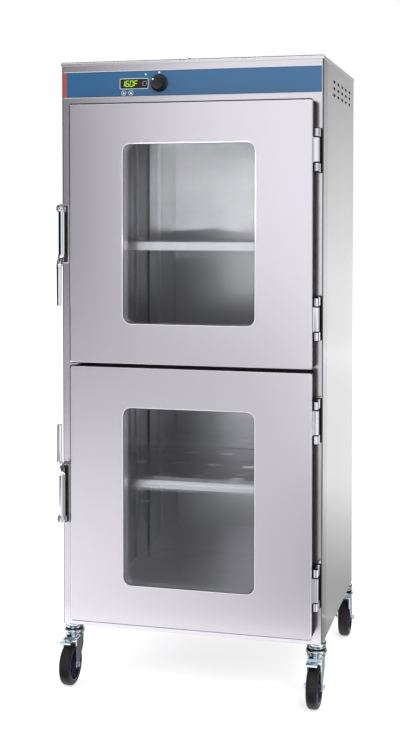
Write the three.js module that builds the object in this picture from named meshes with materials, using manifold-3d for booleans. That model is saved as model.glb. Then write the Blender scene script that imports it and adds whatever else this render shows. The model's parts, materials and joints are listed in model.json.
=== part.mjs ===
// A free-standing blanket warming cabinet: a steel casing with one heated chamber behind two
// windowed doors, a control strip above them, and four swivel casters below.
// Millimetres, +Z up. X runs across the front from left to right and the front faces -Y.
import * as THREE from 'three';
import { mergeVertices } from 'three/addons/utils/BufferGeometryUtils.js';
import Module from 'manifold-3d';

const wasm = await Module();
wasm.setup();

// Casing
const CASING_WIDTH = 800;
const CASING_DEPTH = 658;
const CASING_HEIGHT = 1716;
const SHEET = 2; // thickness of the steel panels
const FIT = 0.3; // gap between pieces that sit on each other
const COLLAR_DEPTH = 76; // how far the front frame wraps round the sides
const CAP_LIP = 12; // turned-down edge of the top panel
const BASE_RIM = 40; // turned-up edge of the base pan
const BASE_SHEET = 3;

// Heated chamber inside the casing
const CHAMBER_SIDE = 92; // from the casing side to the chamber wall
const CHAMBER_FLOOR = 88; // from the casing bottom to the chamber floor
const CHAMBER_TOP = 181; // from the casing top to the chamber ceiling
const CHAMBER_BACK = 60; // from the casing back to the chamber back wall
const CENTRE_RAIL = 90; // height of the frame's rail between the two mouths
const SHELF_COUNT = 3;
const SHELF_LIP = 25;
const SHELF_FRONT = 40; // from the frame face back to the shelf edge
const SHELF_BACK_GAP = 6;
const SHELF_SIDE_GAP = 5;
const SHELF_HOLE_RADIUS = 25;
const SHELF_HOLE_PITCH = 118;
const SHELF_HOLE_ROWS = 3;
const SHELF_HOLE_ROW_PITCH = 190;
const SHELF_HOLE_FIRST_ROW = 70; // from the shelf edge to the first row of holes
const LEDGE_WIDTH = 20;
const LEDGE_LEG = 18;
const RACK_STRIP_WIDTH = 25;
const RACK_STRIP_INSET = 90; // from the ends of the ledges to the upright strips
const RACK_END_GAP = 30; // from the shelf edge to the ends of the ledges
const HEATER_MARGIN = 60;
const HEATER_THICKNESS = 4;
const PROBE_RADIUS = 6;
const PROBE_LENGTH = 34;
const PROBE_FLANGE_RADIUS = 13;
const PROBE_FLANGE = 3;
const PROBE_FROM_BACK = 78;
const PROBE_ABOVE_FLOOR = 180;

// Doors
const DOOR_PROUD = 62; // front of the doors ahead of the frame face
const DOOR_LEFT = 45; // casing left side to the door edge
const DOOR_RIGHT = 21; // casing right side to the door edge
const DOOR_BOTTOM = 32;
const DOOR_TOP = 132;
const DOOR_GAP = 10; // between the two doors
const DOOR_CORNER = 5;
const SKIN_RETURN = 8; // turned-back edge of the door's outer skin
const SURROUND_WIDTH = 28; // black surround behind the skin
const SURROUND_INSET = 1;
const DOOR_LINER_BACK = 14; // door liner ahead of the frame face
const WINDOW_SIDE = 168;
const WINDOW_END = 120;
const WINDOW_CORNER = 24;
const GLASS_THICKNESS = 6;
const GLASS_LAP = 14; // how far the glass runs behind the window's edge

// Hinges
const HINGE_INSET = 11.5; // pin axis in from the casing side
const HINGE_REACH = 48; // pin axis ahead of the frame face
const HINGE_END = 143.5; // hinge centre from the door's end
const HINGE_HEIGHT = 129;
const HINGE_LEAF_HEIGHT = 73; // the door leaf between the two frame knuckles
const HINGE_BARREL_RADIUS = 7.5;
const HINGE_PIN_RADIUS = 4;
const HINGE_PIN_CLEARANCE = 0.4;
const HINGE_PLATE = 3;
const HINGE_PLATE_FRONT = 12; // door leaf plate ahead of the pin
const HINGE_PLATE_BACK = 28; // door leaf plate behind the pin
const HINGE_ARM_LEFT = 2; // frame leaf arm, either side of the pin
const HINGE_ARM_RIGHT = 7;
const HINGE_FOOT_LEFT = 6; // frame leaf foot, either side of the pin
const HINGE_FOOT_RIGHT = 10;
const HINGE_FOOT = 4;

// Latches
const LATCH_LENGTH = 178;
const LATCH_WIDTH = 32;
const LATCH_FRONT = 62; // front of the latch base ahead of the frame face
const LATCH_BACK = 17;
const LATCH_BEVEL = 8;
const LATCH_EAR = 3.5; // thickness of the two ears that hold the lever's pin
const LATCH_EAR_RADIUS = 11;
const LATCH_PIN_RADIUS = 3;
const LATCH_PIN_CLEARANCE = 0.4;
const LATCH_PIVOT_END = 14; // pivot in from the end of the latch base
const LATCH_PIVOT_FRONT = 74; // pivot ahead of the frame face
const LEVER_WIDTH = 18;
const LEVER_THICKNESS = 12;
const LEVER_KNUCKLE_RADIUS = 9;
const LEVER_REACH = 126; // lever end past the latch base
const LEVER_OFFSET = 23; // the grip stands this much further out
const LEVER_BEND = 34; // length of the sloping part of the lever
const LEVER_BEND_END = 8; // where the slope ends, past the latch base
const LEVER_END_RADIUS = 5;
const STRIKE_LENGTH = 76;
const STRIKE_WIDTH = 24;
const STRIKE_PLATE_LENGTH = 116;
const STRIKE_PLATE = 4;

// Control strip
const OVERLAY_DROP = 30; // from the casing top to the strip
const OVERLAY_HEIGHT = 79;
const OVERLAY_SIDE = 5;
const OVERLAY_CORNER = 5;
const OVERLAY_THICKNESS = 1.2;
const DISPLAY_LEFT = 230; // display centre from the casing left side
const DISPLAY_WIDTH = 86;
const DISPLAY_HEIGHT = 28;
const DISPLAY_PROUD = 2.5;
const DISPLAY_CORNER = 3;
const KNOB_LEFT = 308.5; // knob centre from the casing left side
const KNOB_RADIUS = 26;
const KNOB_SKIRT = 6;
const KNOB_HEIGHT = 22;
const KNOB_BODY_RADIUS = 22;
const KNOB_GAP = 1; // between the knob and the control strip
const KNOB_BAR_WIDTH = 9;
const KNOB_BAR_RISE = 4;
const KNOB_REST_ANGLE = 53; // degrees the pointer stands left of upright
const SHAFT_RADIUS = 3;
const SHAFT_CLEARANCE = 0.5;
const SHAFT_LENGTH = 16; // shaft inside the control module
const MODULE_MARGIN = 12;
const MODULE_DEPTH = 60;

// Openings and fittings in the casing
const VENT_COLUMNS = 5;
const VENT_ROWS = 3;
const VENT_LENGTH = 42;
const VENT_HEIGHT = 8;
const VENT_PITCH = 85;
const VENT_ROW_PITCH = 20;
const VENT_FIRST = 214; // first column's centre behind the frame face
const VENT_DROP = 58; // top row below the casing top
const INLET_LEFT = 110; // power inlet from the casing left side, seen from the front
const INLET_ABOVE_BASE = 120;
const INLET_FLANGE_RADIUS = 24;
const INLET_FLANGE = 4;
const INLET_BODY_RADIUS = 15;
const INLET_BODY = 16;
const INLET_BORE_RADIUS = 6;

// Casters
const WHEEL_DIAMETER = 127;
const WHEEL_WIDTH = 35;
const WHEEL_SIDES = 18; // a flat of the tread rests on the floor
const WHEEL_SHOULDER = 11; // rounding of the tread's edges
const HUB_RADIUS = 14;
const HUB_OVERHANG = 2; // hub end past the tyre's side
const RIM_RADIUS = 49;
const WEB_WIDTH = 20;
const CASTER_INSET_SIDE = 22;
const CASTER_INSET_END = 38;
const CASTER_TRAIL = 38;
const WHEEL_CLEARANCE = 15; // wheel top to fork crown
const CROWN_HEIGHT = 4;
const CROWN_BACK = 17; // crown behind the swivel axis
const CROWN_FRONT = 43; // crown ahead of the swivel axis
const NECK_HEIGHT = 6; // raised seat of the bearing ring on the crown
const NECK_RADIUS = 28;
const RING_HEIGHT = 12.7;
const RING_RADIUS = 32;
const CUP_HEIGHT = 22;
const CUP_RADIUS = 28.5;
const CUP_BEVEL = 7; // slope round the cup's lower edge
const CUP_BOTTOM_RADIUS = 25;
const KINGPIN_RADIUS = 7;
const KINGPIN_CLEARANCE = 0.4;
const FORK_PLATE = 3;
const FORK_END_RADIUS = 12;
const FORK_SHOULDER = 37; // from the crown's top down to where a leg's back edge starts to slant
const FORK_TAPER = 45; // degrees below level where the slanting edge leaves the leg's round end
const AXLE_RADIUS = 5;
const AXLE_CLEARANCE = 0.3;
const AXLE_HEAD_RADIUS = 9;
const AXLE_HEAD = 7;
const PEDAL_WIDTH = 34;
const PEDAL_LENGTH = 43; // pin to the pedal's front edge
const PEDAL_THICKNESS = 3.5;
const PEDAL_LIP = 8;
const PEDAL_KNUCKLE_RADIUS = 4;
const PEDAL_PIN_RADIUS = 2;
const PEDAL_PIN_CLEARANCE = 0.3;
const PEDAL_PIVOT_BACK = 7; // pin behind the crown's front edge

// Worked-out places, from the casing front face, the middle of its width and the floor
const wheelRadius = WHEEL_DIAMETER / 2;
const crownBottom = WHEEL_DIAMETER + WHEEL_CLEARANCE;
const crownTop = crownBottom + CROWN_HEIGHT;
const neckTop = crownTop + NECK_HEIGHT;
const ringTop = neckTop + RING_HEIGHT;
const cupBottom = ringTop + FIT;
const casingBottom = cupBottom + CUP_HEIGHT;
const casingTop = casingBottom + CASING_HEIGHT;
const left = -CASING_WIDTH / 2;
const right = CASING_WIDTH / 2;
const chamberLeft = left + CHAMBER_SIDE;
const chamberRight = right - CHAMBER_SIDE;
const chamberFloor = casingBottom + CHAMBER_FLOOR;
const chamberCeiling = casingTop - CHAMBER_TOP;
const chamberBack = CASING_DEPTH - CHAMBER_BACK;
const shelfPitch = (chamberCeiling - chamberFloor) / (SHELF_COUNT + 1);
const doorHeight = (CASING_HEIGHT - DOOR_BOTTOM - DOOR_TOP - DOOR_GAP) / 2;
const doorWidth = CASING_WIDTH - DOOR_LEFT - DOOR_RIGHT;
const lowerDoorMiddle = casingBottom + DOOR_BOTTOM + doorHeight / 2;
const upperDoorMiddle = lowerDoorMiddle + doorHeight + DOOR_GAP;
const railMiddle = (lowerDoorMiddle + upperDoorMiddle) / 2;
const hingeX = right - HINGE_INSET;
const hingeY = -HINGE_REACH;
const overlayTop = casingTop - OVERLAY_DROP;
const overlayMiddle = overlayTop - OVERLAY_HEIGHT / 2;
const displayX = left + DISPLAY_LEFT;
const knobX = left + KNOB_LEFT;
const forkInside = WHEEL_WIDTH / 2 + HUB_OVERHANG + FIT;
const forkOutside = forkInside + FORK_PLATE;

// Flat sides that stand for a round form, and steps along a rounded corner
const ROUND_SIDES = 12;
const HEX_SIDES = 6;
const KNOB_SIDES = 18;
const CASTER_SIDES = 16;
const SHELF_HOLE_SIDES = 8;
const DOOR_CORNER_STEPS = 2;
const FORK_END_STEPS = 3;

const SLIVER = 0.01; // faces thinner than this are left out of a joined body
const GRID = 0.001; // corners are rounded to this before bodies are joined

// Materials
function finish(color, roughness, metalness) {
  return new THREE.MeshStandardMaterial({ color, roughness, metalness });
}
const steel = finish(0xc4c2c8, 0.35, 0.9);
const linerSteel = finish(0x9a9a9e, 0.45, 0.9);
const chrome = finish(0xe4e6ea, 0.12, 1.0);
const zinc = finish(0xb4bfc4, 0.3, 1.0);
const rubber = finish(0x1c1b1d, 0.75, 0.0);
const tyre = finish(0x2a2a2b, 0.7, 0.0);
const blackPlastic = finish(0x151515, 0.45, 0.0);
const stripBlue = finish(0x2b6aa3, 0.4, 0.0);
const heaterOrange = finish(0xb4572c, 0.6, 0.0);
const moduleGrey = finish(0x6b6e72, 0.5, 0.0);
const glass = new THREE.MeshStandardMaterial({
  color: 0xdfe7ea,
  roughness: 0.05,
  metalness: 0.0,
  transparent: true,
  opacity: 0.25,
});

// Shape helpers
function box(x0, x1, y0, y1, z0, z1) {
  const geometry = new THREE.BoxGeometry(x1 - x0, y1 - y0, z1 - z0);
  return geometry.translate((x0 + x1) / 2, (y0 + y1) / 2, (z0 + z1) / 2);
}

function rodX(radius, x0, x1, y, z, sides = ROUND_SIDES) {
  const geometry = new THREE.CylinderGeometry(radius, radius, x1 - x0, sides);
  return geometry.rotateZ(Math.PI / 2).translate((x0 + x1) / 2, y, z);
}

function rodY(radius, y0, y1, x, z, sides = ROUND_SIDES) {
  const geometry = new THREE.CylinderGeometry(radius, radius, y1 - y0, sides);
  return geometry.translate(x, (y0 + y1) / 2, z);
}

function rodZ(radius, z0, z1, x, y, sides = ROUND_SIDES) {
  const geometry = new THREE.CylinderGeometry(radius, radius, z1 - z0, sides);
  return geometry.rotateX(Math.PI / 2).translate(x, y, (z0 + z1) / 2);
}

function rectangle(x0, x1, y0, y1, Kind = THREE.Shape) {
  const outline = new Kind();
  outline.moveTo(x0, y0);
  outline.lineTo(x1, y0);
  outline.lineTo(x1, y1);
  outline.lineTo(x0, y1);
  outline.closePath();
  return outline;
}

function roundedRectangle(x0, x1, y0, y1, radius, Kind = THREE.Shape) {
  const outline = new Kind();
  outline.absarc(x1 - radius, y0 + radius, radius, -Math.PI / 2, 0, false);
  outline.absarc(x1 - radius, y1 - radius, radius, 0, Math.PI / 2, false);
  outline.absarc(x0 + radius, y1 - radius, radius, Math.PI / 2, Math.PI, false);
  outline.absarc(x0 + radius, y0 + radius, radius, Math.PI, Math.PI * 1.5, false);
  outline.closePath();
  return outline;
}

// A round hole whose flats, not corners, stand at the radius
function roundHole(x, y, radius, sides = ROUND_SIDES) {
  const corner = radius / Math.cos(Math.PI / sides);
  const points = [];
  for (let index = 0; index < sides; index += 1) {
    const angle = (-2 * Math.PI * index) / sides;
    points.push(new THREE.Vector2(x + corner * Math.cos(angle), y + corner * Math.sin(angle)));
  }
  return new THREE.Path(points);
}

function polygon(points) {
  return new THREE.Shape(points.map(([x, y]) => new THREE.Vector2(x, y)));
}

// An outline drawn across (X, Z), made solid from y0 back to y1
function slab(shape, y0, y1, curveSegments = 1) {
  const geometry = new THREE.ExtrudeGeometry(shape, { depth: y1 - y0, bevelEnabled: false, curveSegments });
  return geometry.rotateX(Math.PI / 2).translate(0, y1, 0);
}

// An outline drawn from above (X, Y), made solid from z0 up to z1
function plate(shape, z0, z1) {
  const geometry = new THREE.ExtrudeGeometry(shape, { depth: z1 - z0, bevelEnabled: false });
  return geometry.translate(0, 0, z0);
}

// An outline drawn from the side (Y, Z), made solid from x0 across to x1
function sideways(shape, x0, x1, curveSegments = 1) {
  const geometry = new THREE.ExtrudeGeometry(shape, { depth: x1 - x0, bevelEnabled: false, curveSegments });
  const turn = new THREE.Matrix4().makeBasis(
    new THREE.Vector3(0, 1, 0),
    new THREE.Vector3(0, 0, 1),
    new THREE.Vector3(1, 0, 0),
  );
  return geometry.applyMatrix4(turn).translate(x0, 0, 0);
}

// A profile of [radius, height] points turned about the Y axis
function turned(profile, sides) {
  const points = profile.map(([radius, height]) => new THREE.Vector2(radius, height));
  return new THREE.LatheGeometry(points, sides, Math.PI / sides);
}

// Rounds the corners to the grid, so that faces meant to be level with each other are
function toSolid(geometry) {
  const bare = geometry.clone();
  bare.deleteAttribute('normal');
  bare.deleteAttribute('uv');
  const rounded = bare.attributes.position.array.map((value) => Math.round(value / GRID) * GRID);
  bare.setAttribute('position', new THREE.BufferAttribute(rounded, 3));
  const merged = mergeVertices(bare, GRID / 10);
  const vertProperties = new Float32Array(merged.attributes.position.array);
  const triVerts = new Uint32Array(merged.index.array);
  return new wasm.Manifold(new wasm.Mesh({ numProp: 3, vertProperties, triVerts }));
}

function toGeometry(solid) {
  const { vertProperties, triVerts } = solid.asOriginal().simplify(SLIVER).getMesh();
  const geometry = new THREE.BufferGeometry();
  geometry.setAttribute('position', new THREE.BufferAttribute(new Float32Array(vertProperties), 3));
  geometry.setIndex(new THREE.BufferAttribute(new Uint32Array(triVerts), 1));
  geometry.computeVertexNormals();
  return geometry;
}

// Joins the first list of geometries into one body, then cuts the second list from it
function combine(joined, cuts = []) {
  let solid = toSolid(joined[0]);
  for (const geometry of joined.slice(1)) {
    solid = solid.add(toSolid(geometry));
  }
  for (const geometry of cuts) {
    solid = solid.subtract(toSolid(geometry));
  }
  return toGeometry(solid);
}

function place(group, name, geometry, material) {
  const piece = new THREE.Mesh(geometry, material);
  piece.name = name;
  group.add(piece);
}

// Casing panels
function basePan() {
  const x = right - SHEET - FIT;
  const y0 = SHEET + FIT;
  const y1 = CASING_DEPTH - SHEET - FIT;
  const rimTop = casingBottom + BASE_RIM;
  const outside = box(-x, x, y0, y1, casingBottom, rimTop);
  const inside = box(
    -x + BASE_SHEET,
    x - BASE_SHEET,
    y0 + BASE_SHEET,
    y1 - BASE_SHEET,
    casingBottom + BASE_SHEET,
    rimTop + BASE_SHEET,
  );
  return combine([outside], [inside]);
}

function ventOutline(y, z) {
  const radius = VENT_HEIGHT / 2;
  const outline = new THREE.Path();
  outline.absarc(y + VENT_LENGTH / 2 - radius, z, radius, -Math.PI / 2, Math.PI / 2, false);
  outline.absarc(y - VENT_LENGTH / 2 + radius, z, radius, Math.PI / 2, Math.PI * 1.5, false);
  outline.closePath();
  return outline;
}

function sidePanel(x0) {
  const y0 = COLLAR_DEPTH + FIT;
  const top = casingTop - SHEET - FIT;
  const panel = rectangle(y0, CASING_DEPTH, casingBottom, top);
  for (let column = 0; column < VENT_COLUMNS; column += 1) {
    for (let row = 0; row < VENT_ROWS; row += 1) {
      const y = VENT_FIRST + column * VENT_PITCH;
      const z = casingTop - VENT_DROP - row * VENT_ROW_PITCH;
      panel.holes.push(ventOutline(y, z));
    }
  }
  return sideways(panel, x0, x0 + SHEET);
}

function backPanel() {
  const x = right - SHEET - FIT;
  const top = casingTop - SHEET - FIT;
  return box(-x, x, CASING_DEPTH - SHEET, CASING_DEPTH, casingBottom, top);
}

function topPanel() {
  const x = right + FIT;
  const y0 = -FIT;
  const y1 = CASING_DEPTH + FIT;
  const outside = box(-x - SHEET, x + SHEET, y0 - SHEET, y1 + SHEET, casingTop - CAP_LIP, casingTop);
  const inside = box(-x, x, y0, y1, casingTop - CAP_LIP - SHEET, casingTop - SHEET);
  return combine([outside], [inside]);
}

function mouth(z0, z1) {
  return rectangle(chamberLeft, chamberRight, z0, z1, THREE.Path);
}

function frontFrame() {
  const top = casingTop - SHEET - FIT;
  const face = rectangle(left, right, casingBottom, top);
  face.holes.push(mouth(chamberFloor, railMiddle - CENTRE_RAIL / 2));
  face.holes.push(mouth(railMiddle + CENTRE_RAIL / 2, chamberCeiling));
  face.holes.push(displayHole());
  face.holes.push(shaftHole());
  return combine([
    slab(face, 0, SHEET),
    box(left, left + SHEET, 0, COLLAR_DEPTH, casingBottom, top),
    box(right - SHEET, right, 0, COLLAR_DEPTH, casingBottom, top),
    box(left, right, 0, COLLAR_DEPTH, top - SHEET, top),
  ]);
}

// Control strip
function displayHole() {
  const halfWidth = DISPLAY_WIDTH / 2 + FIT;
  const halfHeight = DISPLAY_HEIGHT / 2 + FIT;
  return roundedRectangle(
    displayX - halfWidth,
    displayX + halfWidth,
    overlayMiddle - halfHeight,
    overlayMiddle + halfHeight,
    DISPLAY_CORNER + FIT,
    THREE.Path,
  );
}

function shaftHole() {
  return roundHole(knobX, overlayMiddle, SHAFT_RADIUS + SHAFT_CLEARANCE);
}

function controlOverlay() {
  const strip = roundedRectangle(
    left + OVERLAY_SIDE,
    right - OVERLAY_SIDE,
    overlayTop - OVERLAY_HEIGHT,
    overlayTop,
    OVERLAY_CORNER,
  );
  strip.holes.push(displayHole());
  strip.holes.push(shaftHole());
  return slab(strip, -FIT - OVERLAY_THICKNESS, -FIT);
}

function displayWindow() {
  const window = roundedRectangle(
    displayX - DISPLAY_WIDTH / 2,
    displayX + DISPLAY_WIDTH / 2,
    overlayMiddle - DISPLAY_HEIGHT / 2,
    overlayMiddle + DISPLAY_HEIGHT / 2,
    DISPLAY_CORNER,
  );
  return slab(window, -DISPLAY_PROUD, SHEET);
}

function controlModule() {
  const x0 = displayX - DISPLAY_WIDTH / 2 - MODULE_MARGIN;
  const x1 = knobX + KNOB_RADIUS + MODULE_MARGIN;
  const halfHeight = Math.max(DISPLAY_HEIGHT / 2, KNOB_RADIUS) + MODULE_MARGIN;
  const y0 = SHEET + FIT;
  const body = box(x0, x1, y0, y0 + MODULE_DEPTH, overlayMiddle - halfHeight, overlayMiddle + halfHeight);
  const bore = rodY(SHAFT_RADIUS + SHAFT_CLEARANCE, y0 - SHEET, y0 + SHAFT_LENGTH, knobX, overlayMiddle);
  return combine([body], [bore]);
}

// The knob in its own frame: the shaft lies along Y and the strip's face is at y = 0
function knob() {
  const skirtBack = -KNOB_GAP;
  const skirtFront = skirtBack - KNOB_SKIRT;
  const bodyFront = skirtBack - KNOB_HEIGHT;
  const strip = FIT + OVERLAY_THICKNESS;
  const shaftEnd = strip + SHEET + FIT + SHAFT_LENGTH - SHAFT_CLEARANCE;
  const bar = box(
    -KNOB_BAR_WIDTH / 2,
    KNOB_BAR_WIDTH / 2,
    bodyFront - KNOB_BAR_RISE,
    bodyFront + KNOB_BAR_RISE,
    -KNOB_BODY_RADIUS + KNOB_BAR_RISE,
    KNOB_BODY_RADIUS - KNOB_BAR_RISE,
  );
  return combine([
    rodY(KNOB_RADIUS, skirtFront, skirtBack, 0, 0, KNOB_SIDES),
    rodY(KNOB_BODY_RADIUS, bodyFront, skirtBack, 0, 0, KNOB_SIDES),
    bar,
    rodY(SHAFT_RADIUS, skirtFront, shaftEnd, 0, 0),
  ]);
}

// Heated chamber
function chamberLiner() {
  const y0 = SHEET + FIT;
  const outside = box(
    chamberLeft - SHEET,
    chamberRight + SHEET,
    y0,
    chamberBack + SHEET,
    chamberFloor - SHEET,
    chamberCeiling + SHEET,
  );
  const inside = box(chamberLeft, chamberRight, y0 - SHEET, chamberBack, chamberFloor, chamberCeiling);
  return combine([outside], [inside]);
}

function heatingMat() {
  const y0 = chamberBack + SHEET + FIT;
  return box(
    chamberLeft + HEATER_MARGIN,
    chamberRight - HEATER_MARGIN,
    y0,
    y0 + HEATER_THICKNESS,
    chamberFloor + HEATER_MARGIN,
    chamberCeiling - HEATER_MARGIN,
  );
}

function shelfTop(level) {
  return chamberFloor + level * shelfPitch;
}

// A perforated shelf whose front and back edges turn down
function shelf(level) {
  const x0 = chamberLeft + SHELF_SIDE_GAP;
  const x1 = chamberRight - SHELF_SIDE_GAP;
  const y1 = chamberBack - SHELF_BACK_GAP;
  const top = shelfTop(level);
  const sheet = rectangle(x0, x1, SHELF_FRONT, y1);
  const columns = Math.floor((x1 - x0 - 2 * SHELF_HOLE_RADIUS) / SHELF_HOLE_PITCH);
  for (let column = 0; column < columns; column += 1) {
    for (let row = 0; row < SHELF_HOLE_ROWS; row += 1) {
      const x = (column - (columns - 1) / 2) * SHELF_HOLE_PITCH;
      const y = SHELF_FRONT + SHELF_HOLE_FIRST_ROW + row * SHELF_HOLE_ROW_PITCH;
      sheet.holes.push(roundHole(x, y, SHELF_HOLE_RADIUS, SHELF_HOLE_SIDES));
    }
  }
  return combine([
    plate(sheet, top - SHEET, top),
    box(x0, x1, SHELF_FRONT, SHELF_FRONT + SHEET, top - SHELF_LIP, top),
    box(x0, x1, y1 - SHEET, y1, top - SHELF_LIP, top),
  ]);
}

// Two uprights with a ledge under each shelf, on one chamber wall
function shelfRack(wallX, inward) {
  const y0 = SHELF_FRONT + RACK_END_GAP;
  const y1 = chamberBack - SHELF_BACK_GAP - RACK_END_GAP;
  const near = wallX + inward * FIT;
  const bar = (depth, ya, yb, za, zb) => {
    const far = near + inward * depth;
    return box(Math.min(near, far), Math.max(near, far), ya, yb, za, zb);
  };
  const pieces = [];
  for (const y of [y0 + RACK_STRIP_INSET, y1 - RACK_STRIP_INSET - RACK_STRIP_WIDTH]) {
    pieces.push(bar(SHEET, y, y + RACK_STRIP_WIDTH, chamberFloor + FIT, chamberCeiling - FIT));
  }
  for (let level = 1; level <= SHELF_COUNT; level += 1) {
    const top = shelfTop(level) - SHEET - FIT;
    pieces.push(bar(LEDGE_WIDTH, y0, y1, top - SHEET, top));
    pieces.push(bar(SHEET, y0, y1, top - LEDGE_LEG, top));
  }
  return combine(pieces);
}

function temperatureProbe() {
  const x = chamberLeft + FIT;
  const y = chamberBack - PROBE_FROM_BACK;
  const z = chamberFloor + PROBE_ABOVE_FLOOR;
  return combine([
    rodX(PROBE_FLANGE_RADIUS, x, x + PROBE_FLANGE, y, z),
    rodX(PROBE_RADIUS, x, x + PROBE_LENGTH, y, z),
  ]);
}

function powerInlet() {
  const y = CASING_DEPTH + FIT;
  const x = left + INLET_LEFT;
  const z = casingBottom + INLET_ABOVE_BASE;
  const front = y + INLET_FLANGE + INLET_BODY;
  return combine(
    [
      rodY(INLET_FLANGE_RADIUS, y, y + INLET_FLANGE, x, z),
      rodY(INLET_BODY_RADIUS, y, front, x, z, HEX_SIDES),
    ],
    [rodY(INLET_BORE_RADIUS, y + INLET_FLANGE, front + INLET_FLANGE, x, z)],
  );
}

// Doors, drawn in the door's own frame: the hinge pin is the Z axis and z = 0 is mid-height
const doorEdge = HINGE_INSET - DOOR_RIGHT;
const doorFar = doorEdge - doorWidth;
const doorFront = HINGE_REACH - DOOR_PROUD;
const frameFace = HINGE_REACH;
const glassFront = doorFront + SHEET + FIT;

function doorOutline(inset, radius, Kind = THREE.Shape) {
  return roundedRectangle(
    doorFar + inset,
    doorEdge - inset,
    -doorHeight / 2 + inset,
    doorHeight / 2 - inset,
    radius,
    Kind,
  );
}

function windowOutline(grow, Kind = THREE.Shape) {
  return roundedRectangle(
    doorFar + WINDOW_SIDE - grow,
    doorEdge - WINDOW_SIDE + grow,
    -doorHeight / 2 + WINDOW_END - grow,
    doorHeight / 2 - WINDOW_END + grow,
    WINDOW_CORNER + grow,
    Kind,
  );
}

// The outer skin: a sheet with the window in it and its edges turned back
function doorSkin() {
  const sheet = doorOutline(0, DOOR_CORNER);
  sheet.holes.push(windowOutline(0, THREE.Path));
  const rim = doorOutline(0, DOOR_CORNER);
  rim.holes.push(doorOutline(SHEET, DOOR_CORNER - SHEET, THREE.Path));
  return combine([
    slab(sheet, doorFront, doorFront + SHEET, DOOR_CORNER_STEPS),
    slab(rim, doorFront, doorFront + SKIN_RETURN, DOOR_CORNER_STEPS),
  ]);
}

// The black surround carries the skin and the liner, and its back edge seals on the frame
function doorSurround() {
  const ring = doorOutline(SURROUND_INSET, DOOR_CORNER);
  ring.holes.push(doorOutline(SURROUND_WIDTH, DOOR_CORNER, THREE.Path));
  return slab(ring, doorFront + SKIN_RETURN + FIT, frameFace - FIT);
}

// The inner sheet, with a collar round the window that holds the glass against the skin
function doorLiner() {
  const back = frameFace - DOOR_LINER_BACK;
  const sheet = doorOutline(SURROUND_WIDTH + FIT, DOOR_CORNER);
  sheet.holes.push(windowOutline(0, THREE.Path));
  const collar = windowOutline(SHEET);
  collar.holes.push(windowOutline(0, THREE.Path));
  return combine([
    slab(sheet, back - SHEET, back, DOOR_CORNER_STEPS),
    slab(collar, glassFront + GLASS_THICKNESS + FIT, back, DOOR_CORNER_STEPS),
  ]);
}

function doorGlass() {
  return slab(windowOutline(GLASS_LAP), glassFront, glassFront + GLASS_THICKNESS);
}

// Hinges, drawn about the pin with z = 0 at the hinge's middle
function hingeDoorLeaf(z) {
  const half = HINGE_LEAF_HEIGHT / 2;
  const plateLeft = doorEdge + FIT;
  const plateRight = plateLeft + HINGE_PLATE;
  const tab = box(plateLeft, plateRight, -HINGE_PLATE_FRONT, HINGE_PLATE_BACK, z - half, z + half);
  const web = box(plateLeft, 0, -HINGE_BARREL_RADIUS, HINGE_BARREL_RADIUS, z - half, z + half);
  const barrel = rodZ(HINGE_BARREL_RADIUS, z - half, z + half, 0, 0);
  const bore = rodZ(HINGE_PIN_RADIUS + HINGE_PIN_CLEARANCE, z - HINGE_HEIGHT, z + HINGE_HEIGHT, 0, 0);
  return combine([tab, web, barrel], [bore]);
}

function hingeFrameLeaf() {
  const half = HINGE_HEIGHT / 2;
  const inner = HINGE_LEAF_HEIGHT / 2 + FIT;
  const footBack = frameFace - FIT;
  const footFront = footBack - HINGE_FOOT;
  const pieces = [
    box(-HINGE_FOOT_LEFT, HINGE_FOOT_RIGHT, footFront, footBack, -half, half),
    rodZ(HINGE_PIN_RADIUS, -half, half, 0, 0),
  ];
  for (const [z0, z1] of [[-half, -inner], [inner, half]]) {
    pieces.push(rodZ(HINGE_BARREL_RADIUS, z0, z1, 0, 0));
    pieces.push(box(-HINGE_ARM_LEFT, HINGE_ARM_RIGHT, 0, footFront + HINGE_FOOT / 2, z0, z1));
  }
  return combine(pieces);
}

// Latches, drawn in the door's frame. The lever hangs down where way is -1 and stands up where it is 1.
// It stands against the outer edge of the latch base
const latchRight = doorFar - FIT;
const latchLeft = latchRight - LATCH_WIDTH;
const latchMiddle = (latchLeft + latchRight) / 2;
const latchFront = frameFace - LATCH_FRONT;
const latchBack = frameFace - LATCH_BACK;
const pivotY = frameFace - LATCH_PIVOT_FRONT;
const pivotAlong = -LATCH_LENGTH / 2 + LATCH_PIVOT_END;
const earInside = LEVER_WIDTH / 2 + FIT;
const earOutside = earInside + LATCH_EAR;
const leverMiddle = latchLeft + earOutside;

function latchBase(way) {
  const half = LATCH_LENGTH / 2;
  const body = polygon([
    [latchBack, -half],
    [latchBack, half],
    [latchFront + LATCH_BEVEL, half],
    [latchFront, half - LATCH_BEVEL],
    [latchFront, -half + LATCH_BEVEL],
    [latchFront + LATCH_BEVEL, -half],
  ]);
  const pieces = [sideways(body, latchLeft, latchRight)];
  const pivotZ = way * pivotAlong;
  for (const x0 of [leverMiddle - earOutside, leverMiddle + earInside]) {
    const x1 = x0 + LATCH_EAR;
    pieces.push(rodX(LATCH_EAR_RADIUS, x0, x1, pivotY, pivotZ));
    pieces.push(
      box(x0, x1, pivotY, latchFront + LATCH_BEVEL, pivotZ - LATCH_EAR_RADIUS, pivotZ + LATCH_EAR_RADIUS),
    );
  }
  pieces.push(rodX(LATCH_PIN_RADIUS, leverMiddle - earOutside, leverMiddle + earOutside, pivotY, pivotZ));
  return combine(pieces);
}

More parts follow.
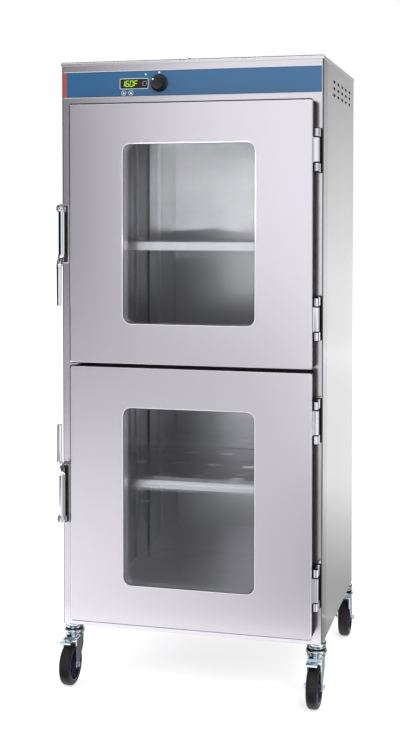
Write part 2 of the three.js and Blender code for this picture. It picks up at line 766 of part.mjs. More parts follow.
// The lever in its own frame: the pivot pin is the X axis
function latchLever(way) {
  const inner = LEVER_THICKNESS / 2;
  const end = LATCH_LENGTH - LATCH_PIVOT_END + LEVER_REACH;
  const slopeEnd = LATCH_LENGTH - LATCH_PIVOT_END + LEVER_BEND_END;
  const slopeStart = slopeEnd - LEVER_BEND;
  const along = [
    [inner, 0],
    [inner, slopeStart],
    [inner - LEVER_OFFSET, slopeEnd],
    [inner - LEVER_OFFSET, end - LEVER_END_RADIUS],
    [inner - LEVER_OFFSET - LEVER_END_RADIUS, end],
    [-inner - LEVER_OFFSET + LEVER_END_RADIUS / 2, end],
    [-inner - LEVER_OFFSET, end - LEVER_END_RADIUS / 2],
    [-inner - LEVER_OFFSET, slopeEnd],
    [-inner, slopeStart],
    [-inner, 0],
  ];
  const outline = polygon(along.map(([y, z]) => [y, way * z]));
  const bore = rodX(LATCH_PIN_RADIUS + LATCH_PIN_CLEARANCE, -LEVER_WIDTH, LEVER_WIDTH, 0, 0);
  return combine(
    [
      sideways(outline, -LEVER_WIDTH / 2, LEVER_WIDTH / 2),
      rodX(LEVER_KNUCKLE_RADIUS, -LEVER_WIDTH / 2, LEVER_WIDTH / 2, 0, 0),
    ],
    [bore],
  );
}

function latchStrike(z) {
  const x0 = hingeX + latchMiddle - STRIKE_WIDTH / 2;
  const x1 = x0 + STRIKE_WIDTH;
  const front = hingeY + latchBack + FIT;
  const halfPlate = STRIKE_PLATE_LENGTH / 2;
  const halfBlock = STRIKE_LENGTH / 2;
  return combine([
    box(x0, x1, -FIT - STRIKE_PLATE, -FIT, z - halfPlate, z + halfPlate),
    box(x0, x1, front, -FIT, z - halfBlock, z + halfBlock),
  ]);
}

function addLatchLever(door, label, way) {
  const pivot = new THREE.Group();
  pivot.name = `${label}_latch_pivot`;
  pivot.position.set(leverMiddle, pivotY, way * pivotAlong);
  place(pivot, `${label}_latch_lever`, latchLever(way), chrome);
  door.add(pivot);
}

function addDoor(cabinet, label, middle, way) {
  const door = new THREE.Group();
  door.name = `${label}_door_hinge`;
  door.position.set(hingeX, hingeY, middle);
  place(door, `${label}_door_skin`, doorSkin(), steel);
  place(door, `${label}_door_surround`, doorSurround(), rubber);
  place(door, `${label}_door_liner`, doorLiner(), linerSteel);
  place(door, `${label}_door_glass`, doorGlass(), glass);
  place(door, `${label}_latch_base`, latchBase(way), chrome);
  place(cabinet, `${label}_latch_strike`, latchStrike(middle), chrome);
  for (const [end, sign] of [['top', 1], ['bottom', -1]]) {
    const z = sign * (doorHeight / 2 - HINGE_END);
    place(door, `${label}_door_${end}_hinge_leaf`, hingeDoorLeaf(z), chrome);
    const frameLeaf = hingeFrameLeaf().translate(hingeX, hingeY, middle + z);
    place(cabinet, `${label}_door_${end}_hinge_frame_leaf`, frameLeaf, chrome);
  }
  addLatchLever(door, label, way);
  cabinet.add(door);
}

// Casters, drawn about the swivel axis with z = 0 on the floor. The wheel trails to -Y
function casterCup(x, y) {
  const profile = [
    [0, crownBottom],
    [KINGPIN_RADIUS, crownBottom],
    [KINGPIN_RADIUS, cupBottom],
    [CUP_BOTTOM_RADIUS, cupBottom],
    [CUP_RADIUS, cupBottom + CUP_BEVEL],
    [CUP_RADIUS, casingBottom - FIT],
    [0, casingBottom - FIT],
  ];
  return combine([turned(profile, CASTER_SIDES).rotateX(Math.PI / 2).translate(x, y, 0)]);
}

// The outline of one fork leg: straight down from the crown's front, round about the axle and slanting
// back up to the crown
function forkLeg() {
  const taper = THREE.MathUtils.degToRad(FORK_TAPER);
  const outline = new THREE.Shape();
  outline.moveTo(CROWN_BACK, crownTop);
  outline.lineTo(-CROWN_FRONT, crownTop);
  outline.lineTo(-CROWN_FRONT, crownBottom);
  outline.absarc(-CASTER_TRAIL, wheelRadius, FORK_END_RADIUS, Math.PI, Math.PI * 2 - taper, false);
  outline.lineTo(CROWN_BACK, crownTop - FORK_SHOULDER);
  outline.closePath();
  outline.holes.push(roundHole(-CASTER_TRAIL, wheelRadius, AXLE_RADIUS + AXLE_CLEARANCE));
  return outline;
}

const pedalPivotY = -CROWN_FRONT + PEDAL_PIVOT_BACK;
const pedalPivotZ = crownBottom - FIT - PEDAL_KNUCKLE_RADIUS;

// The pin of a brake pedal runs from leg to leg under the crown
function casterFork(braked) {
  const pieces = [
    rodZ(RING_RADIUS, neckTop, ringTop, 0, 0, CASTER_SIDES),
    rodZ(NECK_RADIUS, crownBottom, neckTop, 0, 0, CASTER_SIDES),
    box(-forkOutside, forkOutside, -CROWN_FRONT, CROWN_BACK, crownBottom, crownTop),
    sideways(forkLeg(), forkInside, forkOutside, FORK_END_STEPS),
    sideways(forkLeg(), -forkOutside, -forkInside, FORK_END_STEPS),
  ];
  if (braked) {
    pieces.push(rodX(PEDAL_PIN_RADIUS, -forkOutside, forkOutside, pedalPivotY, pedalPivotZ));
  }
  const bore = rodZ(KINGPIN_RADIUS + KINGPIN_CLEARANCE, crownBottom - FIT, ringTop + FIT, 0, 0);
  return combine(pieces, [bore]);
}

function casterAxle() {
  const inside = forkOutside + FIT;
  const outside = inside + AXLE_HEAD;
  return combine([
    rodX(AXLE_RADIUS, -outside, outside, -CASTER_TRAIL, wheelRadius),
    rodX(AXLE_HEAD_RADIUS, -outside, -inside, -CASTER_TRAIL, wheelRadius, HEX_SIDES),
    rodX(AXLE_HEAD_RADIUS, inside, outside, -CASTER_TRAIL, wheelRadius, HEX_SIDES),
  ]);
}

// The wheel in its own frame, turning about X
function casterWheel() {
  const tread = wheelRadius / Math.cos(Math.PI / WHEEL_SIDES);
  const half = WHEEL_WIDTH / 2;
  const hub = half + HUB_OVERHANG;
  const bore = AXLE_RADIUS + AXLE_CLEARANCE;
  const profile = [
    [bore, -hub],
    [HUB_RADIUS, -hub],
    [HUB_RADIUS, -WEB_WIDTH / 2],
    [RIM_RADIUS, -WEB_WIDTH / 2],
    [RIM_RADIUS, -half],
    [tread - WHEEL_SHOULDER, -half],
    [tread, -half + WHEEL_SHOULDER],
    [tread, half - WHEEL_SHOULDER],
    [tread - WHEEL_SHOULDER, half],
    [RIM_RADIUS, half],
    [RIM_RADIUS, WEB_WIDTH / 2],
    [HUB_RADIUS, WEB_WIDTH / 2],
    [HUB_RADIUS, hub],
    [bore, hub],
    [bore, -hub],
  ];
  return turned(profile, WHEEL_SIDES).rotateZ(Math.PI / 2);
}

// The brake pedal in its own frame: the pin is the X axis, and the pedal stands against the left leg
function brakePedal() {
  const x0 = -forkInside + FIT;
  const x1 = x0 + PEDAL_WIDTH;
  const top = PEDAL_KNUCKLE_RADIUS;
  const front = -PEDAL_LENGTH;
  const pieces = [
    box(x0, x1, front, 0, top - PEDAL_THICKNESS, top),
    box(x0, x1, front, front + PEDAL_THICKNESS, top - PEDAL_LIP, top),
    rodX(PEDAL_KNUCKLE_RADIUS, x0, x1, 0, 0),
  ];
  const bore = rodX(PEDAL_PIN_RADIUS + PEDAL_PIN_CLEARANCE, x0 - FIT, x1 + FIT, 0, 0);
  return combine(pieces, [bore]);
}

function addCaster(cabinet, label, x, y, braked, turn) {
  place(cabinet, `${label}_caster_cup`, casterCup(x, y), zinc);
  const swivel = new THREE.Group();
  swivel.name = `${label}_caster_swivel`;
  swivel.position.set(x, y, 0);
  swivel.rotation.z = turn;
  place(swivel, `${label}_caster_fork`, casterFork(braked), zinc);
  place(swivel, `${label}_caster_axle`, casterAxle(), zinc);
  const spin = new THREE.Group();
  spin.name = `${label}_wheel_spin`;
  spin.position.set(0, -CASTER_TRAIL, wheelRadius);
  place(spin, `${label}_wheel`, casterWheel(), tyre);
  swivel.add(spin);
  if (braked) {
    const pedal = new THREE.Group();
    pedal.name = `${label}_pedal_pivot`;
    pedal.position.set(0, pedalPivotY, pedalPivotZ);
    place(pedal, `${label}_brake_pedal`, brakePedal(), zinc);
    swivel.add(pedal);
  }
  cabinet.add(swivel);
}

function addCasing(cabinet) {
  place(cabinet, 'base_pan', basePan(), steel);
  place(cabinet, 'left_side_panel', sidePanel(left), steel);
  place(cabinet, 'right_side_panel', sidePanel(right - SHEET), steel);
  place(cabinet, 'back_panel', backPanel(), steel);
  place(cabinet, 'top_panel', topPanel(), steel);
  place(cabinet, 'front_frame', frontFrame(), steel);
  place(cabinet, 'power_inlet', powerInlet(), blackPlastic);
}

function addChamber(cabinet) {
  place(cabinet, 'chamber_liner', chamberLiner(), linerSteel);
  place(cabinet, 'heating_mat', heatingMat(), heaterOrange);
  const shelfNames = ['lower_shelf', 'middle_shelf', 'upper_shelf'];
  for (let level = 1; level <= SHELF_COUNT; level += 1) {
    place(cabinet, shelfNames[level - 1], shelf(level), linerSteel);
  }
  place(cabinet, 'left_shelf_rack', shelfRack(chamberLeft, 1), linerSteel);
  place(cabinet, 'right_shelf_rack', shelfRack(chamberRight, -1), linerSteel);
  place(cabinet, 'temperature_probe', temperatureProbe(), zinc);
}

function addControls(cabinet) {
  place(cabinet, 'control_overlay', controlOverlay(), stripBlue);
  place(cabinet, 'display_window', displayWindow(), blackPlastic);
  place(cabinet, 'control_module', controlModule(), moduleGrey);
  const pivot = new THREE.Group();
  pivot.name = 'knob_pivot';
  pivot.position.set(knobX, -FIT - OVERLAY_THICKNESS, overlayMiddle);
  pivot.rotation.y = -THREE.MathUtils.degToRad(KNOB_REST_ANGLE);
  place(pivot, 'temperature_knob', knob(), blackPlastic);
  cabinet.add(pivot);
}

function addCasters(cabinet) {
  const sideX = right - CASTER_INSET_SIDE;
  const rearY = CASING_DEPTH - CASTER_INSET_END;
  addCaster(cabinet, 'front_left', -sideX, CASTER_INSET_END, true, 0);
  addCaster(cabinet, 'front_right', sideX, CASTER_INSET_END, true, 0);
  addCaster(cabinet, 'rear_left', -sideX, rearY, false, Math.PI);
  addCaster(cabinet, 'rear_right', sideX, rearY, false, Math.PI);
}

const cabinet = new THREE.Group();
cabinet.name = 'blanket_warming_cabinet';
addCasing(cabinet);
addChamber(cabinet);
addControls(cabinet);
addDoor(cabinet, 'upper', upperDoorMiddle, -1);
addDoor(cabinet, 'lower', lowerDoorMiddle, 1);
addCasters(cabinet);

// The origin is under the middle of the whole cabinet, on the floor
const extent = new THREE.Box3().setFromObject(cabinet, true);
const middle = extent.getCenter(new THREE.Vector3());
cabinet.position.set(-middle.x, -middle.y, -extent.min.z);

export default cabinet;
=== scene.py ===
# %% [markdown]
# # A blanket warming cabinet
# The cabinet stands in its own frame, in metres: X runs across the front, the doors face -Y and the floor is
# at Z = 0. The frame brings in the solids of every piece. This lesson dresses them: thin sheets get rolled
# edges, cast fittings get round forms, and each surface gets the finish of the real material.

# %% Load the frame
import json
import math

import bpy
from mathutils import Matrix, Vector

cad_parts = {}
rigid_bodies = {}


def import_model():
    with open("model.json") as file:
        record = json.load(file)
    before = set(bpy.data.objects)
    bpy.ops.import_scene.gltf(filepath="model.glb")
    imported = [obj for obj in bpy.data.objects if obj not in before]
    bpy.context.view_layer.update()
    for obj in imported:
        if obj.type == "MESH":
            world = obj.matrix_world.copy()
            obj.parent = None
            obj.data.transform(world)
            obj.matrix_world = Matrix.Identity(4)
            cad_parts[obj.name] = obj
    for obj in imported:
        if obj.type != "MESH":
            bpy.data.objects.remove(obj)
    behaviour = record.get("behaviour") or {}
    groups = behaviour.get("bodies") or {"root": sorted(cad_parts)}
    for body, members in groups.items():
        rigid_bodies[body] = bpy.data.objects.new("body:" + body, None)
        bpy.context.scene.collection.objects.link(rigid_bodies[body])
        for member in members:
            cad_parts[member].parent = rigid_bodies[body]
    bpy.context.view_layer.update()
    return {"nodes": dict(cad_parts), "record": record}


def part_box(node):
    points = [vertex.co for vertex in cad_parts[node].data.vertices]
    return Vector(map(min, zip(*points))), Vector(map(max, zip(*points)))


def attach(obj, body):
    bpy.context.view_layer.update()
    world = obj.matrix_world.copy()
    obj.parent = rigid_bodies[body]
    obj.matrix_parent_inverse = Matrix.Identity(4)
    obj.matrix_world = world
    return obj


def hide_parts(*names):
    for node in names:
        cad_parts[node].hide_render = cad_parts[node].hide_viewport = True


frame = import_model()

record = frame["record"]
body_of = {node: body for body, nodes in record["behaviour"]["bodies"].items() for node in nodes}
joint_at = {joint["name"]: Vector(joint["pos_m"]) for joint in record["behaviour"]["joints"]}

# %% [markdown]
# ## Camera
# The picture is 400 pixels wide and 741 tall. The focal length, the turn and the tilt were worked out from
# the straight edges of the casing. The lens looks almost level and the frame is shifted down, as with a view
# camera, so that upright edges stay nearly upright.

# %% Camera
PICTURE_HEIGHT = 741
FOCAL_PIXELS = 1246.79
LENS_ROW = 253.77  # the pixel row that the lens points at
CAMERA_PLACE = Vector((0.95387, -3.88161, 1.44405))
CAMERA_TURN = math.radians(14.458)
CAMERA_TILT = math.radians(1.8205)
SENSOR = 36.0

bpy.ops.object.select_all(action="DESELECT")
bpy.ops.object.camera_add(location=CAMERA_PLACE, rotation=(math.pi / 2 - CAMERA_TILT, 0, CAMERA_TURN))
camera = bpy.context.object
camera.data.sensor_width = SENSOR
camera.data.lens = FOCAL_PIXELS / PICTURE_HEIGHT * SENSOR
camera.data.shift_y = (LENS_ROW - PICTURE_HEIGHT / 2) / PICTURE_HEIGHT
scene = bpy.context.scene
scene.camera = camera
scene.view_settings.view_transform = "Standard"
print("lens", round(camera.data.lens, 2), "mm")

# %% [markdown]
# ## Nodes for the finishes
# Every finish is built from the same few parts: a Principled shader, the piece's own object coordinates, and
# a noise that is shared as a node group. Wiring nodes by hand is slow, so one helper fills a node's inputs:
# a socket is linked in, and anything else is set as a fixed value.

# %% Node helpers
def feed(node, values):
    """Fills inputs of a node, each by its name or number."""
    for key, value in values.items():
        socket = node.inputs[key]
        if isinstance(value, bpy.types.NodeSocket):
            node.id_data.links.new(value, socket)
        elif socket.type == "RGBA":
            socket.default_value = (*value, 1.0)
        else:
            socket.default_value = value


def add_node(tree, kind, values=None, **settings):
    node = tree.nodes.new(kind)
    for name, setting in settings.items():
        setattr(node, name, setting)
    feed(node, values or {})
    return node


def calculate(operation, *terms):
    """A sum of one or two terms. The first is a socket, the second may be a number."""
    node = add_node(terms[0].id_data, "ShaderNodeMath", dict(enumerate(terms)), operation=operation)
    return node.outputs["Value"]


def map_range(value, from_min, from_max, to_min=0.0, to_max=1.0):
    limits = {"From Min": from_min, "From Max": from_max, "To Min": to_min, "To Max": to_max}
    return add_node(value.id_data, "ShaderNodeMapRange", {"Value": value, **limits}).outputs["Result"]


def mix_colors(mask, first, second):
    """A colour between two others; each may be a fixed colour or a socket."""
    colors = {"Factor": mask, 6: first, 7: second}
    return add_node(mask.id_data, "ShaderNodeMix", colors, data_type="RGBA").outputs[2]


def own_place(tree):
    """The piece's own coordinates, as sockets X, Y and Z."""
    place = add_node(tree, "ShaderNodeTexCoord").outputs["Object"]
    return add_node(tree, "ShaderNodeSeparateXYZ", {"Vector": place}).outputs


print("node helpers ready")

# %% [markdown]
# ## Brushing and mottling
# Brushed steel shows fine lines along one way. Plastic, rubber and plating show grains and patches instead.
# Both come from noise, and noise drawn out along one axis turns into lines. Each is a node group, because
# many materials share it. A group gives out masks only, and each material decides what a mask does to it.

# %% Brushing and mottling
def mask_group(name, inputs, outputs):
    """An empty node group that takes vectors and gives out masks."""
    group = bpy.data.node_groups.new(name, "ShaderNodeTree")
    for socket in inputs:
        group.interface.new_socket(name=socket, in_out="INPUT", socket_type="NodeSocketVector")
    for socket in outputs:
        group.interface.new_socket(name=socket, in_out="OUTPUT", socket_type="NodeSocketFloat")
    return group, group.nodes.new("NodeGroupInput"), group.nodes.new("NodeGroupOutput")


def noise(vector, scale, detail, roughness):
    values = {"Vector": vector, "Scale": scale, "Detail": detail, "Roughness": roughness}
    return add_node(vector.id_data, "ShaderNodeTexNoise", values).outputs["Fac"]


def make_brushing():
    """Fine lines, drawn out by the Stretch vector, and broad clouds."""
    group, start, end = mask_group("brushing", ("Vector", "Stretch"), ("Lines", "Clouds"))
    place = start.outputs["Vector"]
    terms = {0: place, 1: start.outputs["Stretch"]}
    stretched = add_node(group, "ShaderNodeVectorMath", terms, operation="MULTIPLY").outputs[0]
    lines = noise(stretched, scale=1.0, detail=4.0, roughness=0.6)
    clouds = noise(place, scale=2.0, detail=1.0, roughness=0.5)
    feed(end, {"Lines": lines, "Clouds": clouds})
    return group


def make_mottling():
    """Fine grains and broad patches for plastics, rubber and plating."""
    group, start, end = mask_group("mottling", ("Vector",), ("Grains", "Patches"))
    place = start.outputs["Vector"]
    grains = noise(place, scale=1400.0, detail=2.0, roughness=0.5)
    patches = noise(place, scale=35.0, detail=4.0, roughness=0.6)
    feed(end, {"Grains": grains, "Patches": patches})
    return group


brushing = make_brushing()
mottling = make_mottling()
print("node groups:", brushing.name, "and", mottling.name)

# %% [markdown]
# ## From masks to finishes
# A mask runs from 0 to 1. `spread` maps it onto the range of roughness that the real surface has, and `bump`
# presses it into the surface by a real depth. What is the same all over is set on the shader itself.

# %% Finish helpers
MASK_LOW = 0.3  # noise mostly stays between these two
MASK_HIGH = 0.7


def start_material(name, color, roughness, metallic=0.0):
    """A new material and its Principled shader."""
    material = bpy.data.materials.new(name)
    material.use_nodes = True
    shader = material.node_tree.nodes["Principled BSDF"]
    feed(shader, {"Base Color": color, "Roughness": roughness, "Metallic": metallic})
    return material, shader


def masks_of(shader, group, **inputs):
    """The masks of a group that is placed beside a shader."""
    tree = shader.id_data
    place = add_node(tree, "ShaderNodeTexCoord").outputs["Object"]
    return add_node(tree, "ShaderNodeGroup", {"Vector": place, **inputs}, node_tree=group).outputs


def spread(mask, low, high):
    return map_range(mask, MASK_LOW, MASK_HIGH, low, high)


def bump(height, depth, strength):
    values = {"Height": height, "Distance": depth, "Strength": strength}
    return add_node(height.id_data, "ShaderNodeBump", values).outputs["Normal"]


def mottle(shader, first, second, smooth, rough, depth, strength):
    """Patches waver between two colours and two roughnesses, and grains are pressed in."""
    masks = masks_of(shader, mottling)
    tint = mix_colors(masks["Patches"], first, second)
    waver = spread(masks["Patches"], smooth, rough)
    feed(shader, {"Base Color": tint, "Roughness": waver, "Normal": bump(masks["Grains"], depth, strength)})


def times(color, factor):
    return tuple(min(channel * factor, 1.0) for channel in color)


print("finish helpers ready")

# %% [markdown]
# ## Metals
# The casing is stainless sheet brushed along one way. The lines barely change its colour: mostly the
# roughness wavers in broad clouds. Chrome and zinc have no lines, only faint patches. The latch housings are
# plated darker than the levers. The front frame and the sides take darker copies of the casing's steel, as
# painted shade. Where the front frame folds round to the sides it mirrors darker things, so its colour steps
# down there, by the piece's own X: a painted reflection.

# %% Metal recipes
LINE_TINT = 0.03  # how much darker and lighter the lines are
CLOUD_WAVER = 0.01
SKIN_DEPTH = 0.0001
LINE_BUMP = 0.015
PLATING_BUMP = 0.01


def sheet_metal(name, color, roughness, stretch, metallic=1.0):
    material, shader = start_material(name, color, roughness, metallic)
    masks = masks_of(shader, brushing, Stretch=stretch)
    tint = mix_colors(masks["Lines"], times(color, 1 - LINE_TINT), times(color, 1 + LINE_TINT))
    waver = spread(masks["Clouds"], roughness - CLOUD_WAVER, roughness + CLOUD_WAVER)
    lines = bump(masks["Lines"], SKIN_DEPTH, LINE_BUMP)
    feed(shader, {"Base Color": tint, "Roughness": waver, "Normal": lines})
    return material


def plated_metal(name, cool, warm, smooth, rough):
    material, shader = start_material(name, cool, smooth, metallic=1.0)
    mottle(shader, cool, warm, smooth, rough, SKIN_DEPTH, PLATING_BUMP)
    return material


def paint_side_shade(material, edge, color):
    """Paints shade and dark reflections: the sheet takes another colour further than `edge` from the middle.
    """
    shader = material.node_tree.nodes["Principled BSDF"]
    aside = calculate("ABSOLUTE", own_place(material.node_tree)["X"])
    plain = shader.inputs["Base Color"].links[0].from_socket
    feed(shader, {"Base Color": mix_colors(calculate("GREATER_THAN", aside, edge), plain, color)})


print("metal recipes ready")

# %% Metals
LINES_UPRIGHT = (900.0, 900.0, 5.0)  # how finely the lines lie along X, Y and Z
LINES_LEVEL = (5.0, 900.0, 900.0)
# The frame's fold and its returns are painted darker: a painted reflection of darker things.
FOLD_WIDTH = 0.0032  # the fold of the front frame, in from its side
FOLD_REFLECTION_GREY = (0.16, 0.155, 0.165)
RETURN_WIDTH = 0.00005
RETURN_REFLECTION_GREY = (0.42, 0.41, 0.43)

casing_steel = sheet_metal("casing steel", (0.79, 0.765, 0.83), 0.26, LINES_UPRIGHT)
# A darker copy of the casing steel: painted shade on the front frame.
frame_steel = sheet_metal("frame steel", (0.71, 0.685, 0.745), 0.17, LINES_UPRIGHT)
level_steel = sheet_metal("level brushed steel", (0.78, 0.765, 0.80), 0.24, LINES_LEVEL)
# A darker copy of the casing steel: painted shade on the sides.
side_steel = sheet_metal("side steel", (0.69, 0.69, 0.69), 0.26, LINES_UPRIGHT)
rack_steel = sheet_metal("rack steel", (0.26, 0.26, 0.28), 0.30, LINES_UPRIGHT, metallic=0.65)
liner_steel = sheet_metal("liner steel", (0.66, 0.65, 0.70), 0.22, LINES_LEVEL, metallic=0.65)
chamber_steel = sheet_metal("chamber steel", (0.70, 0.69, 0.74), 0.22, LINES_LEVEL, metallic=0.65)
shelf_steel = sheet_metal("shelf steel", (0.60, 0.59, 0.63), 0.26, LINES_LEVEL, metallic=0.9)
latch_chrome = plated_metal("latch chrome", (0.42, 0.44, 0.48), (0.50, 0.51, 0.53), 0.05, 0.09)
chrome = plated_metal("chrome", (0.74, 0.77, 0.84), (0.80, 0.81, 0.84), 0.05, 0.09)
zinc = plated_metal("zinc plate", (0.60, 0.74, 0.86), (0.74, 0.78, 0.76), 0.08, 0.15)
frame_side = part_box("front_frame")[1].x
# Painted reflection: dark bands on the frame's fold and returns.
paint_side_shade(frame_steel, frame_side - FOLD_WIDTH, FOLD_REFLECTION_GREY)
paint_side_shade(frame_steel, frame_side - RETURN_WIDTH, RETURN_REFLECTION_GREY)
print("metals ready")

# %% [markdown]
# ## Plastics, rubber and glass
# Moulded surfaces scatter light from fine grains, so they take a bump of grains and a wavering roughness.
# The window glass is mostly see-through: a low alpha lets the chamber be lit through it, and the rest of it
# reflects as glass.

# %% Plastics, rubber and glass
PATCH_DARK = 0.8
PATCH_LIGHT = 1.25
GRAIN_BUMP = 0.25
GLASS_IOR = 1.45
GLOW_SURFACE = 0.2  # how much of its glow's colour a glowing surface has when it is dark


def moulded(name, color, smooth, rough, depth, gloss=0.5):
    material, shader = start_material(name, color, smooth)
    feed(shader, {"Specular IOR Level": gloss})
    mottle(shader, times(color, PATCH_DARK), times(color, PATCH_LIGHT), smooth, rough, depth, GRAIN_BUMP)
    return material


def clear_glass(name, color, alpha):
    material, shader = start_material(name, color, roughness=0.02)
    feed(shader, {"Transmission Weight": 1.0, "IOR": GLASS_IOR, "Alpha": alpha})
    return material


def glowing(name, color, strength):
    material, shader = start_material(name, times(color, GLOW_SURFACE), roughness=0.4)
    feed(shader, {"Emission Color": color, "Emission Strength": strength})
    return material


black_plastic = moulded("black plastic", (0.012, 0.012, 0.013), 0.30, 0.42, 0.0001)
edge_plastic = moulded("edge plastic", (0.014, 0.013, 0.013), 0.45, 0.60, 0.0002, gloss=0.03)
# Black rubber for real seals, and for dark pieces that are painted shade.
seal_and_shade_rubber = moulded("seal and shade rubber", (0.008, 0.008, 0.010), 0.45, 0.60, 0.0002, gloss=0.12)
tyre_rubber = moulded("tyre rubber", (0.012, 0.012, 0.012), 0.42, 0.55, 0.0002, gloss=0.35)
hub_plastic = moulded("hub plastic", (0.026, 0.020, 0.052), 0.18, 0.30, 0.0002, gloss=0.8)
# Pale: a painted highlight on the window's edge.
trim_highlight_plastic = moulded("trim highlight plastic", (0.86, 0.85, 0.90), 0.25, 0.35, 0.0001)
heater_silicone = moulded("heater silicone", (0.42, 0.09, 0.02), 0.50, 0.65, 0.0003)
module_plastic = moulded("module plastic", (0.15, 0.16, 0.17), 0.40, 0.55, 0.0002)
display_plastic = moulded("display plastic", (0.006, 0.006, 0.008), 0.08, 0.14, 0.00002)
white_print = moulded("white print", (0.80, 0.83, 0.86), 0.40, 0.55, 0.00002)
grey_print = moulded("grey print", (0.35, 0.34, 0.38), 0.35, 0.50, 0.00002)
window_glass = clear_glass("window glass", (0.93, 0.97, 0.96), alpha=0.3)
digit_glow = glowing("digit glow", (0.55, 0.95, 0.01), strength=1.1)
lamp_glow = glowing("lamp glow", (0.45, 0.95, 0.50), strength=0.9)
print("plastics, rubber and glass ready")

# %% [markdown]
# ## Helpers for modelling by hand
# These do what a modeller does with keys: take one object, go into edit mode, and select faces or edges by
# where they are. Everything is deselected first, because an operator works on all that is selected.

# %% Taking and selecting
MERGE = 0.00001  # corners closer than this become one


def deselect():
    if bpy.context.mode != "OBJECT":
        bpy.ops.object.mode_set(mode="OBJECT")
    bpy.ops.object.select_all(action="DESELECT")


def take(piece):
    deselect()
    piece.select_set(True)
    bpy.context.view_layer.objects.active = piece


def edit(piece, kind):
    take(piece)
    bpy.ops.object.mode_set(mode="EDIT")
    bpy.ops.mesh.select_mode(type=kind)
    bpy.ops.mesh.select_all(action="DESELECT")


def choose_faces(piece, test):
    edit(piece, "FACE")
    bpy.ops.object.mode_set(mode="OBJECT")
    for face in piece.data.polygons:
        face.select = test(face.center, face.normal)
    bpy.ops.object.mode_set(mode="EDIT")


def choose_edges(piece, test):
    edit(piece, "EDGE")
    bpy.ops.object.mode_set(mode="OBJECT")
    corners = piece.data.vertices
    for edge in piece.data.edges:
        first, second = (corners[index].co for index in edge.vertices)
        edge.select = test(first, second)
    bpy.ops.object.mode_set(mode="EDIT")


def face_out(piece):
    """Merges doubles and turns every face of a closed piece outwards."""
    edit(piece, "VERT")
    bpy.ops.mesh.select_all(action="SELECT")
    bpy.ops.mesh.remove_doubles(threshold=MERGE)
    bpy.ops.mesh.normals_make_consistent(inside=False)
    deselect()


print("corners merge within", MERGE, "m")

# %% [markdown]
# ## Outlines and profiles
# Most pieces start as a drawing. These give the corners of the usual ones: an arc, a circle, a rectangle with
# round corners, a bar with round ends, and a profile that is the same on both sides of its middle.

# %% Outlines and profiles
def arc(centre, radius, start, end, steps):
    """Points along an arc, as (first, second) pairs; the angles are in degrees."""
    points = []
    for step in range(steps + 1):
        angle = math.radians(start + (end - start) * step / steps)
        points.append((centre[0] + radius * math.cos(angle), centre[1] + radius * math.sin(angle)))
    return points


def circle(centre, radius, corners, start=0):
    return arc(centre, radius, start, start + 360 - 360 / corners, corners - 1)


def rounded(edges, radius, grow=0.0, steps=6):
    """A rectangle of edges (x0, x1, z0, z1), grown outwards, with round corners."""
    x0, x1 = edges[0] - grow, edges[1] + grow
    z0, z1 = edges[2] - grow, edges[3] + grow
    points = arc((x1 - radius, z0 + radius), radius, -90, 0, steps)
    points += arc((x1 - radius, z1 - radius), radius, 0, 90, steps)
    points += arc((x0 + radius, z1 - radius), radius, 90, 180, steps)
    points += arc((x0 + radius, z0 + radius), radius, 180, 270, steps)
    return points


def long_bar(centre, reach, end, steps):
    """A bar with round ends, whose middles lie `reach` from the centre."""
    points = arc((centre[0] + reach, centre[1]), end, -90, 90, steps)
    return points + arc((centre[0] - reach, centre[1]), end, 90, 270, steps)


def mirrored(profile):
    """A profile of (radius, along) points and its mirror image about the middle."""
    return profile + [(radius, -along) for radius, along in reversed(profile)]


def face_edges(node):
    """The edges of a node as seen from the front."""
    low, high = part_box(node)
    return low.x, high.x, low.z, high.z


print("a circle of 4 corners:", [tuple(round(v, 3) for v in point) for point in circle((0, 0), 1, 4)])

# %% [markdown]
# ## Drawing and turning
# A flat form starts as one corner that is pulled out along its outline, filled, and pushed out to its depth.
# A round form starts as one side of its section and is spun about its axis. Both are what a maker would draw
# on paper, so the sizes stay easy to read and to change.

# %% Drawing
TINY = 0.001


def new_mesh(name):
    """An empty mesh object in edit mode."""
    deselect()
    bpy.ops.mesh.primitive_plane_add(size=TINY)
    piece = bpy.context.object
    piece.name = name
    bpy.ops.object.mode_set(mode="EDIT")
    bpy.ops.mesh.select_all(action="SELECT")
    bpy.ops.mesh.delete(type="VERT")
    return piece


def pull(points):
    """In edit mode, pulls one corner out along the points."""
    bpy.ops.mesh.select_mode(type="VERT")
    bpy.ops.mesh.select_all(action="DESELECT")
    bpy.ops.mesh.primitive_plane_add(size=TINY, location=points[0])
    bpy.ops.mesh.merge(type="CENTER")
    for before, after in zip(points, points[1:]):
        bpy.ops.mesh.extrude_vertices_move(TRANSFORM_OT_translate={"value": after - before})


def fill(outline, axis, level):
    """In edit mode, draws an outline across X, Y or Z and fills it. The new face is left selected."""
    at = "XYZ".index(axis)
    pull([Vector((*point[:at], level, *point[at:])) for point in outline])
    bpy.ops.mesh.select_linked()
    bpy.ops.mesh.edge_face_add()


def push(offset):
    """In edit mode, pulls what is selected out by an offset."""
    bpy.ops.mesh.extrude_region_move(TRANSFORM_OT_translate={"value": offset})


def slabs(name, outlines, axis, level, depth):
    """Filled outlines that are made solid along an axis, all in one piece."""
    piece = new_mesh(name)
    for outline in outlines:
        fill(outline, axis, level)
        push([depth if letter == axis else 0 for letter in "XYZ"])
    face_out(piece)
    return piece


def slab(name, outline, axis, level, depth):
    return slabs(name, [outline], axis, level, depth)


print("flat forms can be drawn")

